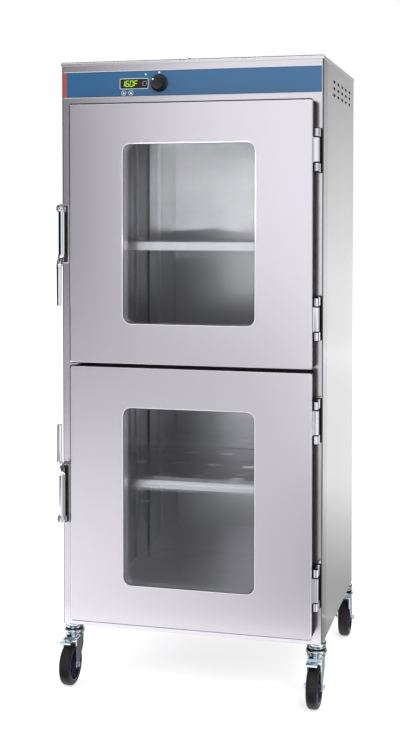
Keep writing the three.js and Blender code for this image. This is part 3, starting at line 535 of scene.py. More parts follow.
# %% Turning and boxes
def turn(name, profile, centre, axis, steps=48, closed=False):
    """A profile of (radius, along) points spun about a line along X, Y or Z."""
    way = Vector([float(letter == axis) for letter in "XYZ"])
    out = Vector((0, 0, 1)) if axis != "Z" else Vector((1, 0, 0))
    points = [Vector(centre) + out * radius + way * along for radius, along in profile]
    if closed:
        points.append(points[0])
    piece = new_mesh(name)
    pull(points)
    bpy.ops.mesh.select_all(action="SELECT")
    bpy.ops.mesh.spin(steps=steps, angle=2 * math.pi, center=centre, axis=way)
    face_out(piece)
    return piece


def block(name, low, high):
    """A box added at its size and place."""
    deselect()
    bpy.ops.mesh.primitive_cube_add(size=1, location=(low + high) / 2, scale=high - low)
    piece = bpy.context.object
    piece.name = name
    bpy.ops.object.transform_apply(location=True, rotation=True, scale=True)
    return piece


print("round forms and boxes can be made")

# %% [markdown]
# ## Finishing a piece
# Real edges are never sharp: a small bevel catches the light. Weighted normals then keep the flat faces flat
# and let only the bevels shade round. A finished piece either takes the place of a solid, on its body, or
# rides as a small detail on the body of the solid beside it.

# %% Modifiers
ROUND_OVER = 35  # edges sharper than this, in degrees, are rounded
KEEP_CURVES = 50  # the same, on pieces whose coarse curves are to stay


def apply_modifier(piece, kind, **values):
    take(piece)
    bpy.ops.object.modifier_add(type=kind)
    modifier = piece.modifiers[-1]
    for name, value in values.items():
        setattr(modifier, name, value)
    bpy.ops.object.modifier_apply(modifier=modifier.name)


def round_edges(piece, width, segments=2, angle=ROUND_OVER):
    limit = math.radians(angle)
    apply_modifier(piece, "BEVEL", width=width, segments=segments, limit_method="ANGLE", angle_limit=limit)


def cut_away(piece, cutter, operation="DIFFERENCE"):
    apply_modifier(piece, "BOOLEAN", object=cutter, operation=operation, solver="EXACT")
    bpy.data.objects.remove(cutter)


def join(name, pieces):
    """Makes one piece of several."""
    deselect()
    for piece in pieces:
        piece.select_set(True)
    bpy.context.view_layer.objects.active = pieces[0]
    bpy.ops.object.join()
    pieces[0].name = name
    return pieces[0]


print("edges sharper than", ROUND_OVER, "degrees are rounded")

# %% Coats and places
SHEET_ANGLE = 40  # faces that meet flatter than this, in degrees, shade as one
CAST_ANGLE = 35
TURNED_ANGLE = 30


def shade(piece, angle):
    take(piece)
    bpy.ops.object.shade_smooth_by_angle(angle=math.radians(angle))
    apply_modifier(piece, "WEIGHTED_NORMAL", keep_sharp=True)


def coat(piece, material):
    if piece.data.materials:
        for slot in piece.material_slots:
            slot.material = material
    else:
        piece.data.materials.append(material)


def stand_for(piece, node, material, smooth=SHEET_ANGLE):
    """The finished piece takes the place of a node, on its body."""
    shade(piece, smooth)
    coat(piece, material)
    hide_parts(node)
    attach(piece, body_of[node])


def ride_beside(piece, node, material, smooth=SHEET_ANGLE):
    """A detail without a solid of its own rides on the body of a node. Flat prints need no smoothing."""
    if smooth:
        shade(piece, smooth)
    coat(piece, material)
    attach(piece, body_of[node])


print("pieces can be coated and placed")

# %% [markdown]
# ## Folded sheets
# The panels of the casing, the door liners and the shelf racks already have their shape. Each is copied from
# its solid, its triangles are merged back into whole faces, and its edges are rounded as a folded sheet's
# are. The front corners of the frame and the rim of the top are bent to a larger radius, so those edges are
# bevelled first.

# %% Copying and folding
FLAT = math.radians(1)
FOLD_STEPS = 5
CUT_BEVEL = 0.0008  # on the edges of a deep-folded sheet that are not bent


def copy_of(node, name):
    piece = bpy.data.objects.new(name, frame["nodes"][node].data.copy())
    scene.collection.objects.link(piece)
    take(piece)
    bpy.ops.mesh.customdata_custom_splitnormals_clear()
    edit(piece, "VERT")
    bpy.ops.mesh.select_all(action="SELECT")
    bpy.ops.mesh.remove_doubles(threshold=MERGE)
    bpy.ops.mesh.dissolve_limited(angle_limit=FLAT)
    deselect()
    return piece


def folded(node, name, material, bevel):
    piece = copy_of(node, name)
    round_edges(piece, bevel)
    stand_for(piece, node, material)


def deep_fold(node, name, test, radius, material):
    """A folded sheet whose chosen edges have a larger radius."""
    piece = copy_of(node, name)
    choose_edges(piece, test)
    bpy.ops.mesh.bevel(offset=radius, segments=FOLD_STEPS, affect="EDGES")
    round_edges(piece, CUT_BEVEL, angle=KEEP_CURVES)
    stand_for(piece, node, material)


print("sheets can be folded")

# %% Folded sheets
CORNER_FOLD = 0.004  # radius of the casing's upright front corners
CAP_FOLD = 0.0052

frame_low, frame_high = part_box("front_frame")
casing_left, casing_front, casing_bottom = frame_low
casing_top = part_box("top_panel")[1].z


def front_corner(first, second):
    upright = abs(first.x - second.x) < TINY and max(first.y, second.y) < casing_front + TINY
    return upright and (first.x < casing_left + TINY or first.x > frame_high.x - TINY)


def top_edge(first, second):
    return min(first.z, second.z) > casing_top - TINY


deep_fold("front_frame", "front_frame_sheet", front_corner, CORNER_FOLD, frame_steel)
deep_fold("top_panel", "top_cap", top_edge, CAP_FOLD, level_steel)
folded("back_panel", "back_sheet", casing_steel, bevel=0.0006)
folded("base_pan", "base_tray", casing_steel, bevel=0.0008)
for wall in ("left", "right"):
    folded(f"{wall}_shelf_rack", f"{wall}_rack", rack_steel, bevel=0.0005)
for door in ("upper", "lower"):
    folded(f"{door}_door_surround", f"{door}_door_edge", edge_plastic, bevel=0.0015)
    folded(f"{door}_door_liner", f"{door}_door_back", liner_steel, bevel=0.0006)
    folded(f"{door}_latch_strike", f"{door}_strike", chrome, bevel=0.0012)
print("folded sheets ready")

# %% [markdown]
# ## Side panels with vents
# Near the top of each side there are rows of slots that let warm air out. Round-ended cutters are drawn from
# the side, pushed through the sheet, and taken away with a boolean. Behind them sits a black plate with a
# turned-in rim, against the sheet's inner face, so that no light shows through.

# %% Side panels
VENT_COLUMNS = 5
VENT_ROWS = 3
VENT_LENGTH = 0.042
VENT_HEIGHT = 0.008
VENT_PITCH = 0.085
VENT_ROW_PITCH = 0.020
VENT_FIRST = 0.214  # first column's middle behind the casing's front
VENT_DROP = 0.058  # top row below the casing's top
CUT_PAST = 0.003  # how far a cutter stands out of the sheet
SIDE_BEVEL = 0.0005


def vent_outlines():
    end = VENT_HEIGHT / 2
    outlines = []
    for column in range(VENT_COLUMNS):
        for row in range(VENT_ROWS):
            y = casing_front + VENT_FIRST + column * VENT_PITCH
            z = casing_top - VENT_DROP - row * VENT_ROW_PITCH
            outlines.append(long_bar((y, z), VENT_LENGTH / 2 - end, end, 6))
    return outlines


def side_panel(side):
    node = f"{side}_side_panel"
    low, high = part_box(node)
    panel = block(f"{side}_side_sheet", low, high)
    through = high.x - low.x + 2 * CUT_PAST
    cut_away(panel, slabs("vent_cutters", vent_outlines(), "X", low.x - CUT_PAST, through))
    round_edges(panel, SIDE_BEVEL)
    stand_for(panel, node, side_steel)


print("vents", VENT_LENGTH, "m long and", VENT_HEIGHT, "m high")

# %% Vent screens
SCREEN_DEPTH = 0.004
SCREEN_RIM = 0.004
SCREEN_CORNER = 0.006
SCREEN_BEVEL = 0.0003


def vent_screen(side):
    node = f"{side}_side_panel"
    low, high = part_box(node)
    inner, way = (high.x, 1) if side == "left" else (low.x, -1)
    y0 = casing_front + VENT_FIRST - VENT_PITCH / 2
    z1 = casing_top - VENT_DROP + VENT_ROW_PITCH
    edges = (y0, y0 + VENT_COLUMNS * VENT_PITCH, z1 - (VENT_ROWS + 1) * VENT_ROW_PITCH, z1)
    screen = slab(f"{side}_vent_screen", rounded(edges, SCREEN_CORNER), "X", inner, way * SCREEN_DEPTH)
    choose_faces(screen, lambda centre, normal: abs(centre.x - inner) < MERGE)
    bpy.ops.mesh.inset(thickness=SCREEN_RIM)
    push((way * SCREEN_DEPTH / 2, 0, 0))
    face_out(screen)
    round_edges(screen, SCREEN_BEVEL)
    ride_beside(screen, node, seal_and_shade_rubber)


for side in ("left", "right"):
    side_panel(side)
    vent_screen(side)
print("side panels with", VENT_COLUMNS * VENT_ROWS, "vents each")

# %% [markdown]
# ## Door panels
# Each door has an outer sheet with a round-cornered window. Two outlines are drawn and the gap between them
# is bridged, so the sheet needs no cutting. Its outer edge is pulled back as the fold, rounded, and the
# whole sheet is thickened inwards.

# %% Bridging
def bridged(name, outer, inner, y):
    """A flat ring between two outlines of equally many corners."""
    piece = new_mesh(name)
    fill(outer, "Y", y)
    fill(inner, "Y", y)
    bpy.ops.mesh.select_all(action="SELECT")
    bpy.ops.mesh.delete(type="ONLY_FACE")
    bpy.ops.mesh.select_mode(type="EDGE")
    bpy.ops.mesh.select_all(action="SELECT")
    bpy.ops.mesh.bridge_edge_loops()
    return piece


print("flat rings can be bridged")

# %% Door panels
WINDOW_SIDE = 0.168
WINDOW_END = 0.120
WINDOW_CORNER = 0.024
DOOR_CORNER = 0.006
DOOR_SHEET = 0.002
DOOR_FOLD = 0.0045
DOOR_FOLD_STEPS = 6
DOOR_BEVEL = 0.0006


def window_edges(door):
    x0, x1, z0, z1 = face_edges(f"{door}_door_skin")
    return x0 + WINDOW_SIDE, x1 - WINDOW_SIDE, z0 + WINDOW_END, z1 - WINDOW_END


def door_panel(door):
    node = f"{door}_door_skin"
    low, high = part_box(node)
    window = window_edges(door)
    x0, x1, z0, z1 = window
    outer = rounded(face_edges(node), DOOR_CORNER)
    panel = bridged(f"{door}_door_panel", outer, rounded(window, WINDOW_CORNER), low.y)

    def on_rim(*points):
        return not any(
            x0 - MERGE < point.x < x1 + MERGE and z0 - MERGE < point.z < z1 + MERGE for point in points
        )

    def on_front_rim(*points):
        return on_rim(*points) and max(point.y for point in points) < low.y + TINY

    choose_edges(panel, on_rim)
    push((0, high.y - low.y, 0))
    choose_edges(panel, on_front_rim)
    bpy.ops.mesh.bevel(offset=DOOR_FOLD, segments=DOOR_FOLD_STEPS, affect="EDGES")
    face_out(panel)
    apply_modifier(panel, "SOLIDIFY", thickness=DOOR_SHEET, offset=-1)
    round_edges(panel, DOOR_BEVEL)
    stand_for(panel, node, casing_steel)


for door in ("upper", "lower"):
    door_panel(door)
print("door panels ready")

# %% [markdown]
# ## Beads, trims and rims of the doors
# A black bead seals the glass, a pale trim clips over the edge of the window, and a black rim lies behind
# the door's sheet, where it shows as a thin line at the top, the bottom and the latch side. The trim's pale
# colour is a painted highlight along the window's edge, and the black rim is painted shadow in the gap round
# the door. All three are rings, so each is two outlines with a bridge between them, pushed to its depth.

# %% Beads, trims and rims
BEAD_WIDTH = 0.0016
BEAD_BACK = 0.0021  # from the sheet's front to the glass
TRIM_WIDTH = 0.0022
TRIM_RISE = 0.0005
RIM_PROUD = 0.0026  # how far the black rim shows round the sheet
RIM_DEPTH = 0.003
RIM_GAP = 0.0003
BEAD_BEVEL = 0.0004
RIM_BEVEL = 0.0003


def door_ring(door, name, outer, inner, y, depth, bevel, material):
    ring = bridged(f"{door}_{name}", outer, inner, y)
    push((0, depth, 0))
    face_out(ring)
    round_edges(ring, bevel)
    ride_beside(ring, f"{door}_door_skin", material)


def door_rings(door):
    window = window_edges(door)
    mouth = rounded(window, WINDOW_CORNER)
    low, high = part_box(f"{door}_door_skin")
    glass = low.y + BEAD_BACK
    inner = rounded(window, WINDOW_CORNER - BEAD_WIDTH, -BEAD_WIDTH)
    door_ring(door, "window_bead", mouth, inner, glass, -BEAD_BACK / 2, BEAD_BEVEL, seal_and_shade_rubber)
    outer = rounded(window, WINDOW_CORNER + TRIM_WIDTH, TRIM_WIDTH)
    # The trim's pale colour is a painted highlight along the window's edge.
    door_ring(door, "window_trim", outer, mouth, glass, -BEAD_BACK - TRIM_RISE, BEAD_BEVEL, trim_highlight_plastic)
    around = (low.x - RIM_PROUD, high.x, low.z - RIM_PROUD, high.z + RIM_PROUD)
    outer = rounded(around, DOOR_CORNER + RIM_PROUD)
    core = rounded(face_edges(f"{door}_door_surround"), DOOR_CORNER)
    # Painted shadow: the black rim shows as a dark line in the gap round the door.
    door_ring(door, "door_shadow_rim", outer, core, high.y + RIM_GAP, RIM_DEPTH, RIM_BEVEL, seal_and_shade_rubber)


for door in ("upper", "lower"):
    door_rings(door)
print("window beads, window trims and door rims ready")

# %% [markdown]
# ## Chamber
# The chamber is lined with sheet. Its back is bright, and its side walls are painted darker: painted shade
# and the reflection of darker things. A dark bead runs up each back corner as painted shade where the walls
# meet.
# It has a hollow face, so its section is a square corner less a quarter circle.

# %% Chamber
LINER_WALL = 0.002
CORNER_SHADE_BEAD = 0.006
SIDE_WALL_SHADE = (0.165, 0.165, 0.18)

liner_low, liner_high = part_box("chamber_liner")
chamber_half = liner_high.x - LINER_WALL
chamber_back = liner_high.y - LINER_WALL
chamber_low = liner_low.z + LINER_WALL
chamber_high = liner_high.z - LINER_WALL


# Painted shade: a dark bead stands in for the shade in each back corner.
def corner_shade_bead(side, way):
    hollow = arc((chamber_half - CORNER_SHADE_BEAD, chamber_back - CORNER_SHADE_BEAD), CORNER_SHADE_BEAD, 0, 90, 6)
    section = [(way * across, deep) for across, deep in [(chamber_half, chamber_back)] + hollow]
    bead = slab(f"{side}_corner_shade_bead", section, "Z", chamber_low, chamber_high - chamber_low)
    ride_beside(bead, "chamber_liner", seal_and_shade_rubber)


coat(frame["nodes"]["chamber_liner"], chamber_steel)
# Painted shade: the side walls take a darker colour than the back.
paint_side_shade(chamber_steel, chamber_half - TINY / 2, SIDE_WALL_SHADE)
corner_shade_bead("left", -1)
corner_shade_bead("right", 1)
print("chamber", round(2 * chamber_half, 3), "m wide and", round(chamber_high - chamber_low, 3), "m high")

# %% [markdown]
# ## Shelves
# A shelf is a sheet whose front and back edges turn down, with round holes that let the warm air rise. The
# sheet is one face, its two edges are pulled down and in, and the thickness comes last. The holes are cut
# through it at the end, so that their walls are square.

# %% Shelves
SHELF_SHEET = 0.002
SHELF_LIP = 0.025
SHELF_RETURN = 0.012
HOLE_RADIUS = 0.025
HOLE_CORNERS = 24
HOLE_PITCH = 0.118
HOLE_ROW_PITCH = 0.190
HOLE_FIRST_ROW = 0.070
HOLE_COLUMNS = 5
HOLE_ROWS = 3
SHELF_BEVEL = 0.0007


def hole_outlines(low, high):
    outlines = []
    for column in range(HOLE_COLUMNS):
        for row in range(HOLE_ROWS):
            x = (low.x + high.x) / 2 + (column - (HOLE_COLUMNS - 1) / 2) * HOLE_PITCH
            y = low.y + HOLE_FIRST_ROW + row * HOLE_ROW_PITCH
            outlines.append(circle((x, y), HOLE_RADIUS, HOLE_CORNERS))
    return outlines


def shelf(level):
    node = f"{level}_shelf"
    low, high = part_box(node)
    sheet = new_mesh(f"{level}_shelf_sheet")
    fill([(low.x, low.y), (high.x, low.y), (high.x, high.y), (low.x, high.y)], "Z", high.z)
    for y, inward in ((low.y, 1), (high.y, -1)):

        def on_edge(first, second):
            return abs(first.y - y) + abs(second.y - y) < TINY and first.z > high.z - TINY

        choose_edges(sheet, on_edge)
        push((0, 0, -SHELF_LIP))
        push((0, inward * SHELF_RETURN, 0))
    face_out(sheet)
    if max(sheet.data.polygons, key=lambda face: face.area).normal.z < 0:
        edit(sheet, "FACE")
        bpy.ops.mesh.select_all(action="SELECT")
        bpy.ops.mesh.flip_normals()
    apply_modifier(sheet, "SOLIDIFY", thickness=SHELF_SHEET, offset=-1)
    cut_away(sheet, slabs("hole_cutters", hole_outlines(low, high), "Z", high.z - SHELF_LIP / 2, SHELF_LIP))
    round_edges(sheet, SHELF_BEVEL)
    stand_for(sheet, node, shelf_steel)


for level in ("lower", "middle", "upper"):
    shelf(level)
print("shelves with", HOLE_COLUMNS * HOLE_ROWS, "holes each")

# %% [markdown]
# ## Latch housings
# A latch sits on the door's edge: a chromed housing with a recess in its front, two ears, and a pin that the
# lever turns on. The housing is a box with soft edges whose front is inset and pushed back. Each ear is
# drawn from the side. A black plate lies on the floor of the recess.

# %% Latch housings
LATCH_RECESS = 0.004
LATCH_RIM = 0.0018
LATCH_ROUND = 0.003
LATCH_BEVEL = 0.0012
LATCH_EAR = 0.0035
LATCH_EAR_RADIUS = 0.011
EAR_BEVEL = 0.0014
LEVER_GAP = 0.0003
PIN_RADIUS = 0.003
PIN_HEAD = 0.0057
PIN_HEAD_RISE = 0.002
PIN_HEAD_EDGE = 0.0005
PIN_END = 0.7  # radius of a pin's flat end beside that of the pin


def latch_housing(door):
    node = f"{door}_latch_base"
    low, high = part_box(node)
    lever_low, lever_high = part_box(f"{door}_latch_lever")
    pivot = joint_at[f"{door}_latch_pivot"]
    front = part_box(f"{door}_door_skin")[0].y
    body = block("body", Vector((low.x, front, low.z)), high)
    round_edges(body, LATCH_ROUND, segments=5)
    choose_faces(body, lambda centre, normal: normal.y < -0.99)
    bpy.ops.mesh.inset(thickness=LATCH_RIM)
    push((0, LATCH_RECESS, 0))
    face_out(body)
    round_edges(body, LATCH_BEVEL, angle=KEEP_CURVES)
    parts = [body]
    root = front + LATCH_RECESS * 2
    side_view = arc((pivot.y, pivot.z), LATCH_EAR_RADIUS, 90, 270, 10)
    side_view += [(root, pivot.z - LATCH_EAR_RADIUS), (root, pivot.z + LATCH_EAR_RADIUS)]
    for x in (lever_low.x - LEVER_GAP - LATCH_EAR, lever_high.x + LEVER_GAP):
        ear = slab("ear", side_view, "X", x, LATCH_EAR)
        round_edges(ear, EAR_BEVEL, segments=3, angle=KEEP_CURVES)
        parts.append(ear)
    end = -(lever_high.x - lever_low.x) / 2 - LEVER_GAP - LATCH_EAR
    profile = [(0, end - PIN_HEAD_RISE), (PIN_HEAD * PIN_END, end - PIN_HEAD_RISE)]
    profile += [(PIN_HEAD, end - PIN_HEAD_EDGE), (PIN_HEAD, end), (PIN_RADIUS, end)]
    middle = ((lever_low.x + lever_high.x) / 2, pivot.y, pivot.z)
    parts.append(turn("pin", mirrored(profile), middle, "X", steps=20))
    stand_for(join(f"{door}_latch_housing", parts), node, latch_chrome)


print("a latch pin is", round(PIN_RADIUS * 2000), "mm across")

# %% Latch wells
WELL_GAP = 0.0006
WELL_CORNER = 0.002
WELL_SINK = 0.0002
WELL_PLATE = 0.0008
WELL_BEVEL = 0.0003


def latch_well(door):
    node = f"{door}_latch_base"
    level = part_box(f"{door}_door_skin")[0].y + LATCH_RECESS + WELL_SINK
    outline = rounded(face_edges(node), WELL_CORNER, -(LATCH_ROUND + LATCH_RIM + WELL_GAP))
    plate = slab(f"{door}_latch_well", outline, "Y", level, -WELL_PLATE)
    round_edges(plate, WELL_BEVEL)
    ride_beside(plate, node, black_plastic)


for door in ("upper", "lower"):
    latch_housing(door)
    latch_well(door)
print("latch housings and wells ready")

# %% [markdown]
# ## Latch levers
# The lever is a chromed casting, round in front and flat behind, with two soft bends that stand its grip
# off the door. Its section is drawn once and pushed along the lever, step by step, and it narrows on the
# way. A knuckle goes round the pin, with a ringed button on its front. The upper lever hangs down and the
# lower one stands up, so the drawing takes the way it points.

# %% Lever drawing
LATCH_PIVOT_END = 0.014  # pivot in from the housing's end
LEVER_HALF = 0.006  # half the lever's thickness
LEVER_OFFSET = 0.023  # the grip stands this much further out
LEVER_BEND = 0.034
LEVER_BEND_END = 0.008
LEVER_REACH = 0.126
LEVER_CURVE = 0.012  # radius of the lever's round front
LEVER_SOFT = 0.002
LEVER_TURN = 0.008  # half the length of each bend
LEVER_NARROW = 0.78  # width of the grip beside that of the bar
LEVER_TIP = (  # back from the lever's end, and how much narrower and thinner it gets there
    (0.004, 0.88, 1),
    (0.0015, 0.92, 0.85),
    (0.0004, 0.8, 0.7),
    (0, 0.6, 0.5),
)
BEND_STEPS = (-1, -0.5, 0, 0.5, 1)


def lever_stations(door):
    """Steps along the lever: how far along, how far out, and how much narrower and thinner."""
    base_low, base_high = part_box(f"{door}_latch_base")
    length = base_high.z - base_low.z - LATCH_PIVOT_END
    slope_end = length + LEVER_BEND_END
    slope_start = slope_end - LEVER_BEND
    rate = LEVER_OFFSET / LEVER_BEND
    narrower = LEVER_NARROW ** (1 / len(BEND_STEPS))
    stations = []
    for step in BEND_STEPS:
        out = -rate * LEVER_TURN * (1 + step) ** 2 / 4
        stations.append((slope_start + step * LEVER_TURN, out, 1, 1))
    for step in BEND_STEPS:
        out = -LEVER_OFFSET + rate * LEVER_TURN * (1 - step) ** 2 / 4
        stations.append((slope_end + step * LEVER_TURN, out, narrower, 1))
    end = length + LEVER_REACH
    return stations + [(end - back, -LEVER_OFFSET, wide, thick) for back, wide, thick in LEVER_TIP]


def lever_section(middle, half, y):
    """The lever's section, round in front and flat behind, as (x, y) pairs."""
    lean = math.degrees(math.asin(half / LEVER_CURVE))
    front = arc((middle, y - LEVER_HALF + LEVER_CURVE), LEVER_CURVE, 270 - lean, 270 + lean, 14)
    back = y + LEVER_HALF
    right = [(middle + half, back - LEVER_SOFT), (middle + half - LEVER_SOFT, back)]
    return front + right + [(2 * middle - x, deep) for x, deep in reversed(right)]


print(len(lever_stations("upper")), "steps along a lever")

# %% Latch levers
KNUCKLE_RADIUS = 0.009
BUTTON = 0.0078
BUTTON_ROOT = [(0, -0.003), (BUTTON, -0.003), (BUTTON, 0.0005)]
BUTTON_RING = [(BUTTON - 0.0012, 0.0014), (BUTTON - 0.0022, 0.0008), (BUTTON - 0.0026, 0.0002)]
BUTTON_FACE = [(BUTTON - 0.0032, 0.0010), (BUTTON * 0.35, 0.0022), (0, 0.0024)]


def lever_bar(door, way, middle, half):
    bar = new_mesh("bar")
    fill(lever_section(middle.x, half, middle.y), "Z", middle.z)
    last_along, last_out = 0, 0
    for along, out, wide, thick in lever_stations(door):
        push((0, out - last_out, way * (along - last_along)))
        bpy.ops.transform.resize(value=(wide, thick, 1))
        last_along, last_out = along, out
    face_out(bar)
    return bar


def latch_lever(door, way):
    node = f"{door}_latch_lever"
    low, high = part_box(node)
    pivot = joint_at[f"{door}_latch_pivot"]
    half = (high.x - low.x) / 2
    middle = Vector(((low.x + high.x) / 2, pivot.y, pivot.z))
    bar = lever_bar(door, way, middle, half)
    profile = [(PIN_RADIUS, -half), (KNUCKLE_RADIUS - LEVER_SOFT, -half)]
    profile += [(KNUCKLE_RADIUS, -half + LEVER_SOFT)]
    knuckle = turn("knuckle", mirrored(profile), middle, "X", steps=28, closed=True)
    profile = [(radius, -KNUCKLE_RADIUS - rise) for radius, rise in BUTTON_ROOT + BUTTON_RING + BUTTON_FACE]
    button = turn("button", profile, middle, "Y", steps=32)
    stand_for(join(f"{door}_lever_arm", [bar, knuckle, button]), node, chrome)


latch_lever("upper", -1)
latch_lever("lower", 1)
print("latch levers ready")

# %% [markdown]
# ## Hinges
# A hinge has a leaf on the door with a flat-fronted barrel, and a leaf on the frame with a knuckle above and
# below it. The knuckles are turned with domed ends. Black washers and caps keep metal off metal, and a black
# pad behind the frame leaf is painted shadow beside the barrel.

# %% Hinge drawing
BARREL_RADIUS = 0.0075
BARREL_SOFT = 0.0015
BARREL_DOME = 0.0035  # how far a knuckle's free end is drawn in
BARREL_STEPS = 28


def dome(radius, z, way):
    """Half the side view of a domed end, from its middle outwards."""
    return [(radius * across, z - way * BARREL_DOME * (1 - up)) for across, up in arc((0, 0), 1, 90, 0, 6)]


def flat_end(z, way):
    return [(0, z), (BARREL_RADIUS - BARREL_SOFT, z), (BARREL_RADIUS, z - way * BARREL_SOFT)]


def soft_band(inner, outer, low, high, soft):
    """The side view of a ring whose outer edges are softened."""
    lower = [(inner, low), (outer - soft, low), (outer, low + soft)]
    return lower + [(outer, high - soft), (outer - soft, high), (inner, high)]


def about_pin(name, door, profile):
    pin = joint_at[f"{door}_door_hinge"]
    return turn(name, profile, (pin.x, pin.y, 0), "Z", steps=BARREL_STEPS)


print("hinge barrels are", round(BARREL_RADIUS * 2000), "mm across")

# %% Hinge leaves
BARREL_FLAT = 0.0035  # corner radius of the door leaf's flat-fronted barrel
WASHER = 0.0022
LEAF_PLATE = 0.003
LEAF_BEVEL = 0.0008
ARM_LEFT = 0.002
ARM_RIGHT = 0.007
ARM_BEVEL = 0.0012
FOOT = 0.004


def door_leaf(door, end):
    node = f"{door}_door_{end}_hinge_leaf"
    low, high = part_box(node)
    pin = joint_at[f"{door}_door_hinge"]
    tab = block("tab", low, Vector((low.x + LEAF_PLATE, high.y, high.z)))
    edges = (low.x, pin.x + BARREL_RADIUS, pin.y - BARREL_RADIUS, pin.y + BARREL_RADIUS)
    shell = slab("shell", rounded(edges, BARREL_FLAT), "Z", low.z + WASHER, high.z - low.z - 2 * WASHER)
    for part in (tab, shell):
        round_edges(part, LEAF_BEVEL, angle=KEEP_CURVES)
    stand_for(join(f"{door}_{end}_leaf", [tab, shell]), node, chrome)


def frame_leaf(door, end):
    node = f"{door}_door_{end}_hinge_frame_leaf"
    low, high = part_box(node)
    leaf_low, leaf_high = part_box(f"{door}_door_{end}_hinge_leaf")
    pin = joint_at[f"{door}_door_hinge"]
    lower_top = leaf_low.z - LEVER_GAP
    upper_foot = leaf_high.z + LEVER_GAP
    parts = []
    for z0, z1 in ((low.z, lower_top), (upper_foot, high.z)):
        arm_low = Vector((pin.x - ARM_LEFT, pin.y, z0 + BARREL_SOFT))
        arm = block("arm", arm_low, Vector((pin.x + ARM_RIGHT, high.y - FOOT / 2, z1 - BARREL_SOFT)))
        round_edges(arm, ARM_BEVEL)
        parts.append(arm)
    lower = dome(BARREL_RADIUS, low.z, -1) + flat_end(lower_top, 1)[::-1]
    upper = flat_end(upper_foot, -1) + dome(BARREL_RADIUS, high.z, 1)[::-1]
    parts += [about_pin("knuckle", door, profile) for profile in (lower, upper)]
    stand_for(join(f"{door}_{end}_frame_leaf", parts), node, chrome)


print("hinge leaves are", round(LEAF_PLATE * 1000), "mm thick")

# %% Hinges
CAP_HEIGHT = 0.004
BLACK_PROUD = 0.0006  # how far caps and washers stand out of a barrel


def hinge_caps_and_shade_pad(door, end):
    """The black pad behind a frame leaf, painted shadow beside the barrel, the caps on its knuckles and the
    washers between them.
    """
    node = f"{door}_door_{end}_hinge_frame_leaf"
    low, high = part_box(node)
    leaf_low, leaf_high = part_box(f"{door}_door_{end}_hinge_leaf")
    # Painted shadow: the black pad shows as a dark band beside the barrel.
    pad = block("pad", Vector((low.x, high.y - FOOT, low.z)), high)
    round_edges(pad, ARM_BEVEL)
    parts = [pad]
    outer = BARREL_RADIUS + BLACK_PROUD
    for z in (leaf_low.z, leaf_high.z - WASHER):
        parts.append(about_pin("washer", door, soft_band(0, outer, z, z + WASHER, BLACK_PROUD)))
    for z, way in ((low.z, -1), (high.z, 1)):
        root = z - way * CAP_HEIGHT
        parts.append(about_pin("cap", door, dome(outer, z, way) + [(outer, root), (0, root)]))
    ride_beside(join(f"{door}_{end}_hinge_pads", parts), node, seal_and_shade_rubber)


for door in ("upper", "lower"):
    for end in ("top", "bottom"):
        door_leaf(door, end)
        frame_leaf(door, end)
        hinge_caps_and_shade_pad(door, end)
print("hinges ready")

# %% [markdown]
# ## Caster cups
# Each caster hangs from a zinc-plated cup under the base, with a kingpin in its middle. Cups are round, so
# half of their section is drawn and spun. Two black rings go with each cup, one in the crease over it and
# one under it: painted shade.

# %% Caster cups
CUP_LOW = 0.165
CUP_RADIUS = 0.0285
CUP_BOWL = 0.010  # height of the cup's round lower part
CUP_DRAWN = 0.007
CUP_LIP = 0.001
GROOVE_ABOVE = 0.0015  # a groove runs round the cup just over its bowl
GROOVE_DEPTH = 0.0012
GROOVE_FLAT = 0.001
KINGPIN = 0.007


def about_swivel(name, label, profile, closed=False):
    swivel = joint_at[f"{label}_swivel"]
    return turn(name, profile, (swivel.x, swivel.y, 0), "Z", closed=closed)


def bowl(radius, low, high, drawn):
    """A round flank that narrows downwards by `drawn`, from its foot to its full radius."""
    points = arc((0, 0), 1, -80, 0, 7)
    return [(radius - drawn * (1 - across), high + (high - low) * up) for across, up in points]


def caster_cup(label):
    node = f"{label}_caster_cup"
    low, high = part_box(node)
    groove = CUP_LOW + CUP_BOWL + GROOVE_ABOVE
    neck = CUP_RADIUS - GROOVE_DEPTH
    profile = [(0, low.z), (KINGPIN, low.z), (KINGPIN, CUP_LOW)]
    profile += bowl(CUP_RADIUS, CUP_LOW, CUP_LOW + CUP_BOWL, CUP_DRAWN)
    profile += [(neck, groove), (neck, groove + GROOVE_FLAT), (CUP_RADIUS, groove + 2 * GROOVE_FLAT)]
    profile += [(CUP_RADIUS, high.z - 3 * CUP_LIP), (CUP_RADIUS - CUP_LIP, high.z - CUP_LIP)]
    profile += [(CUP_RADIUS - 2 * CUP_LIP, high.z), (0, high.z)]
    stand_for(about_swivel(f"{label}_cup", label, profile), node, zinc, TURNED_ANGLE)


print("caster cups are", round(CUP_RADIUS * 2000), "mm across")

# %% Caster shade rings
SHADE_RING_SOFT = 0.0005
TOP_SHADE_RADII = (CUP_RADIUS - 0.004, CUP_RADIUS + 0.0003)  # inner and outer radius
TOP_SHADE_FROM = 0.0035  # below the cup's top
TOP_SHADE_TO = 0.0002
FOOT_SHADE_RADII = (CUP_RADIUS - 0.008, CUP_RADIUS - 0.001)
FOOT_SHADE_HEIGHT = 0.0024
CASTERS = {"front_left": -1, "front_right": -1, "rear_left": 1, "rear_right": 1}  # the way a wheel trails


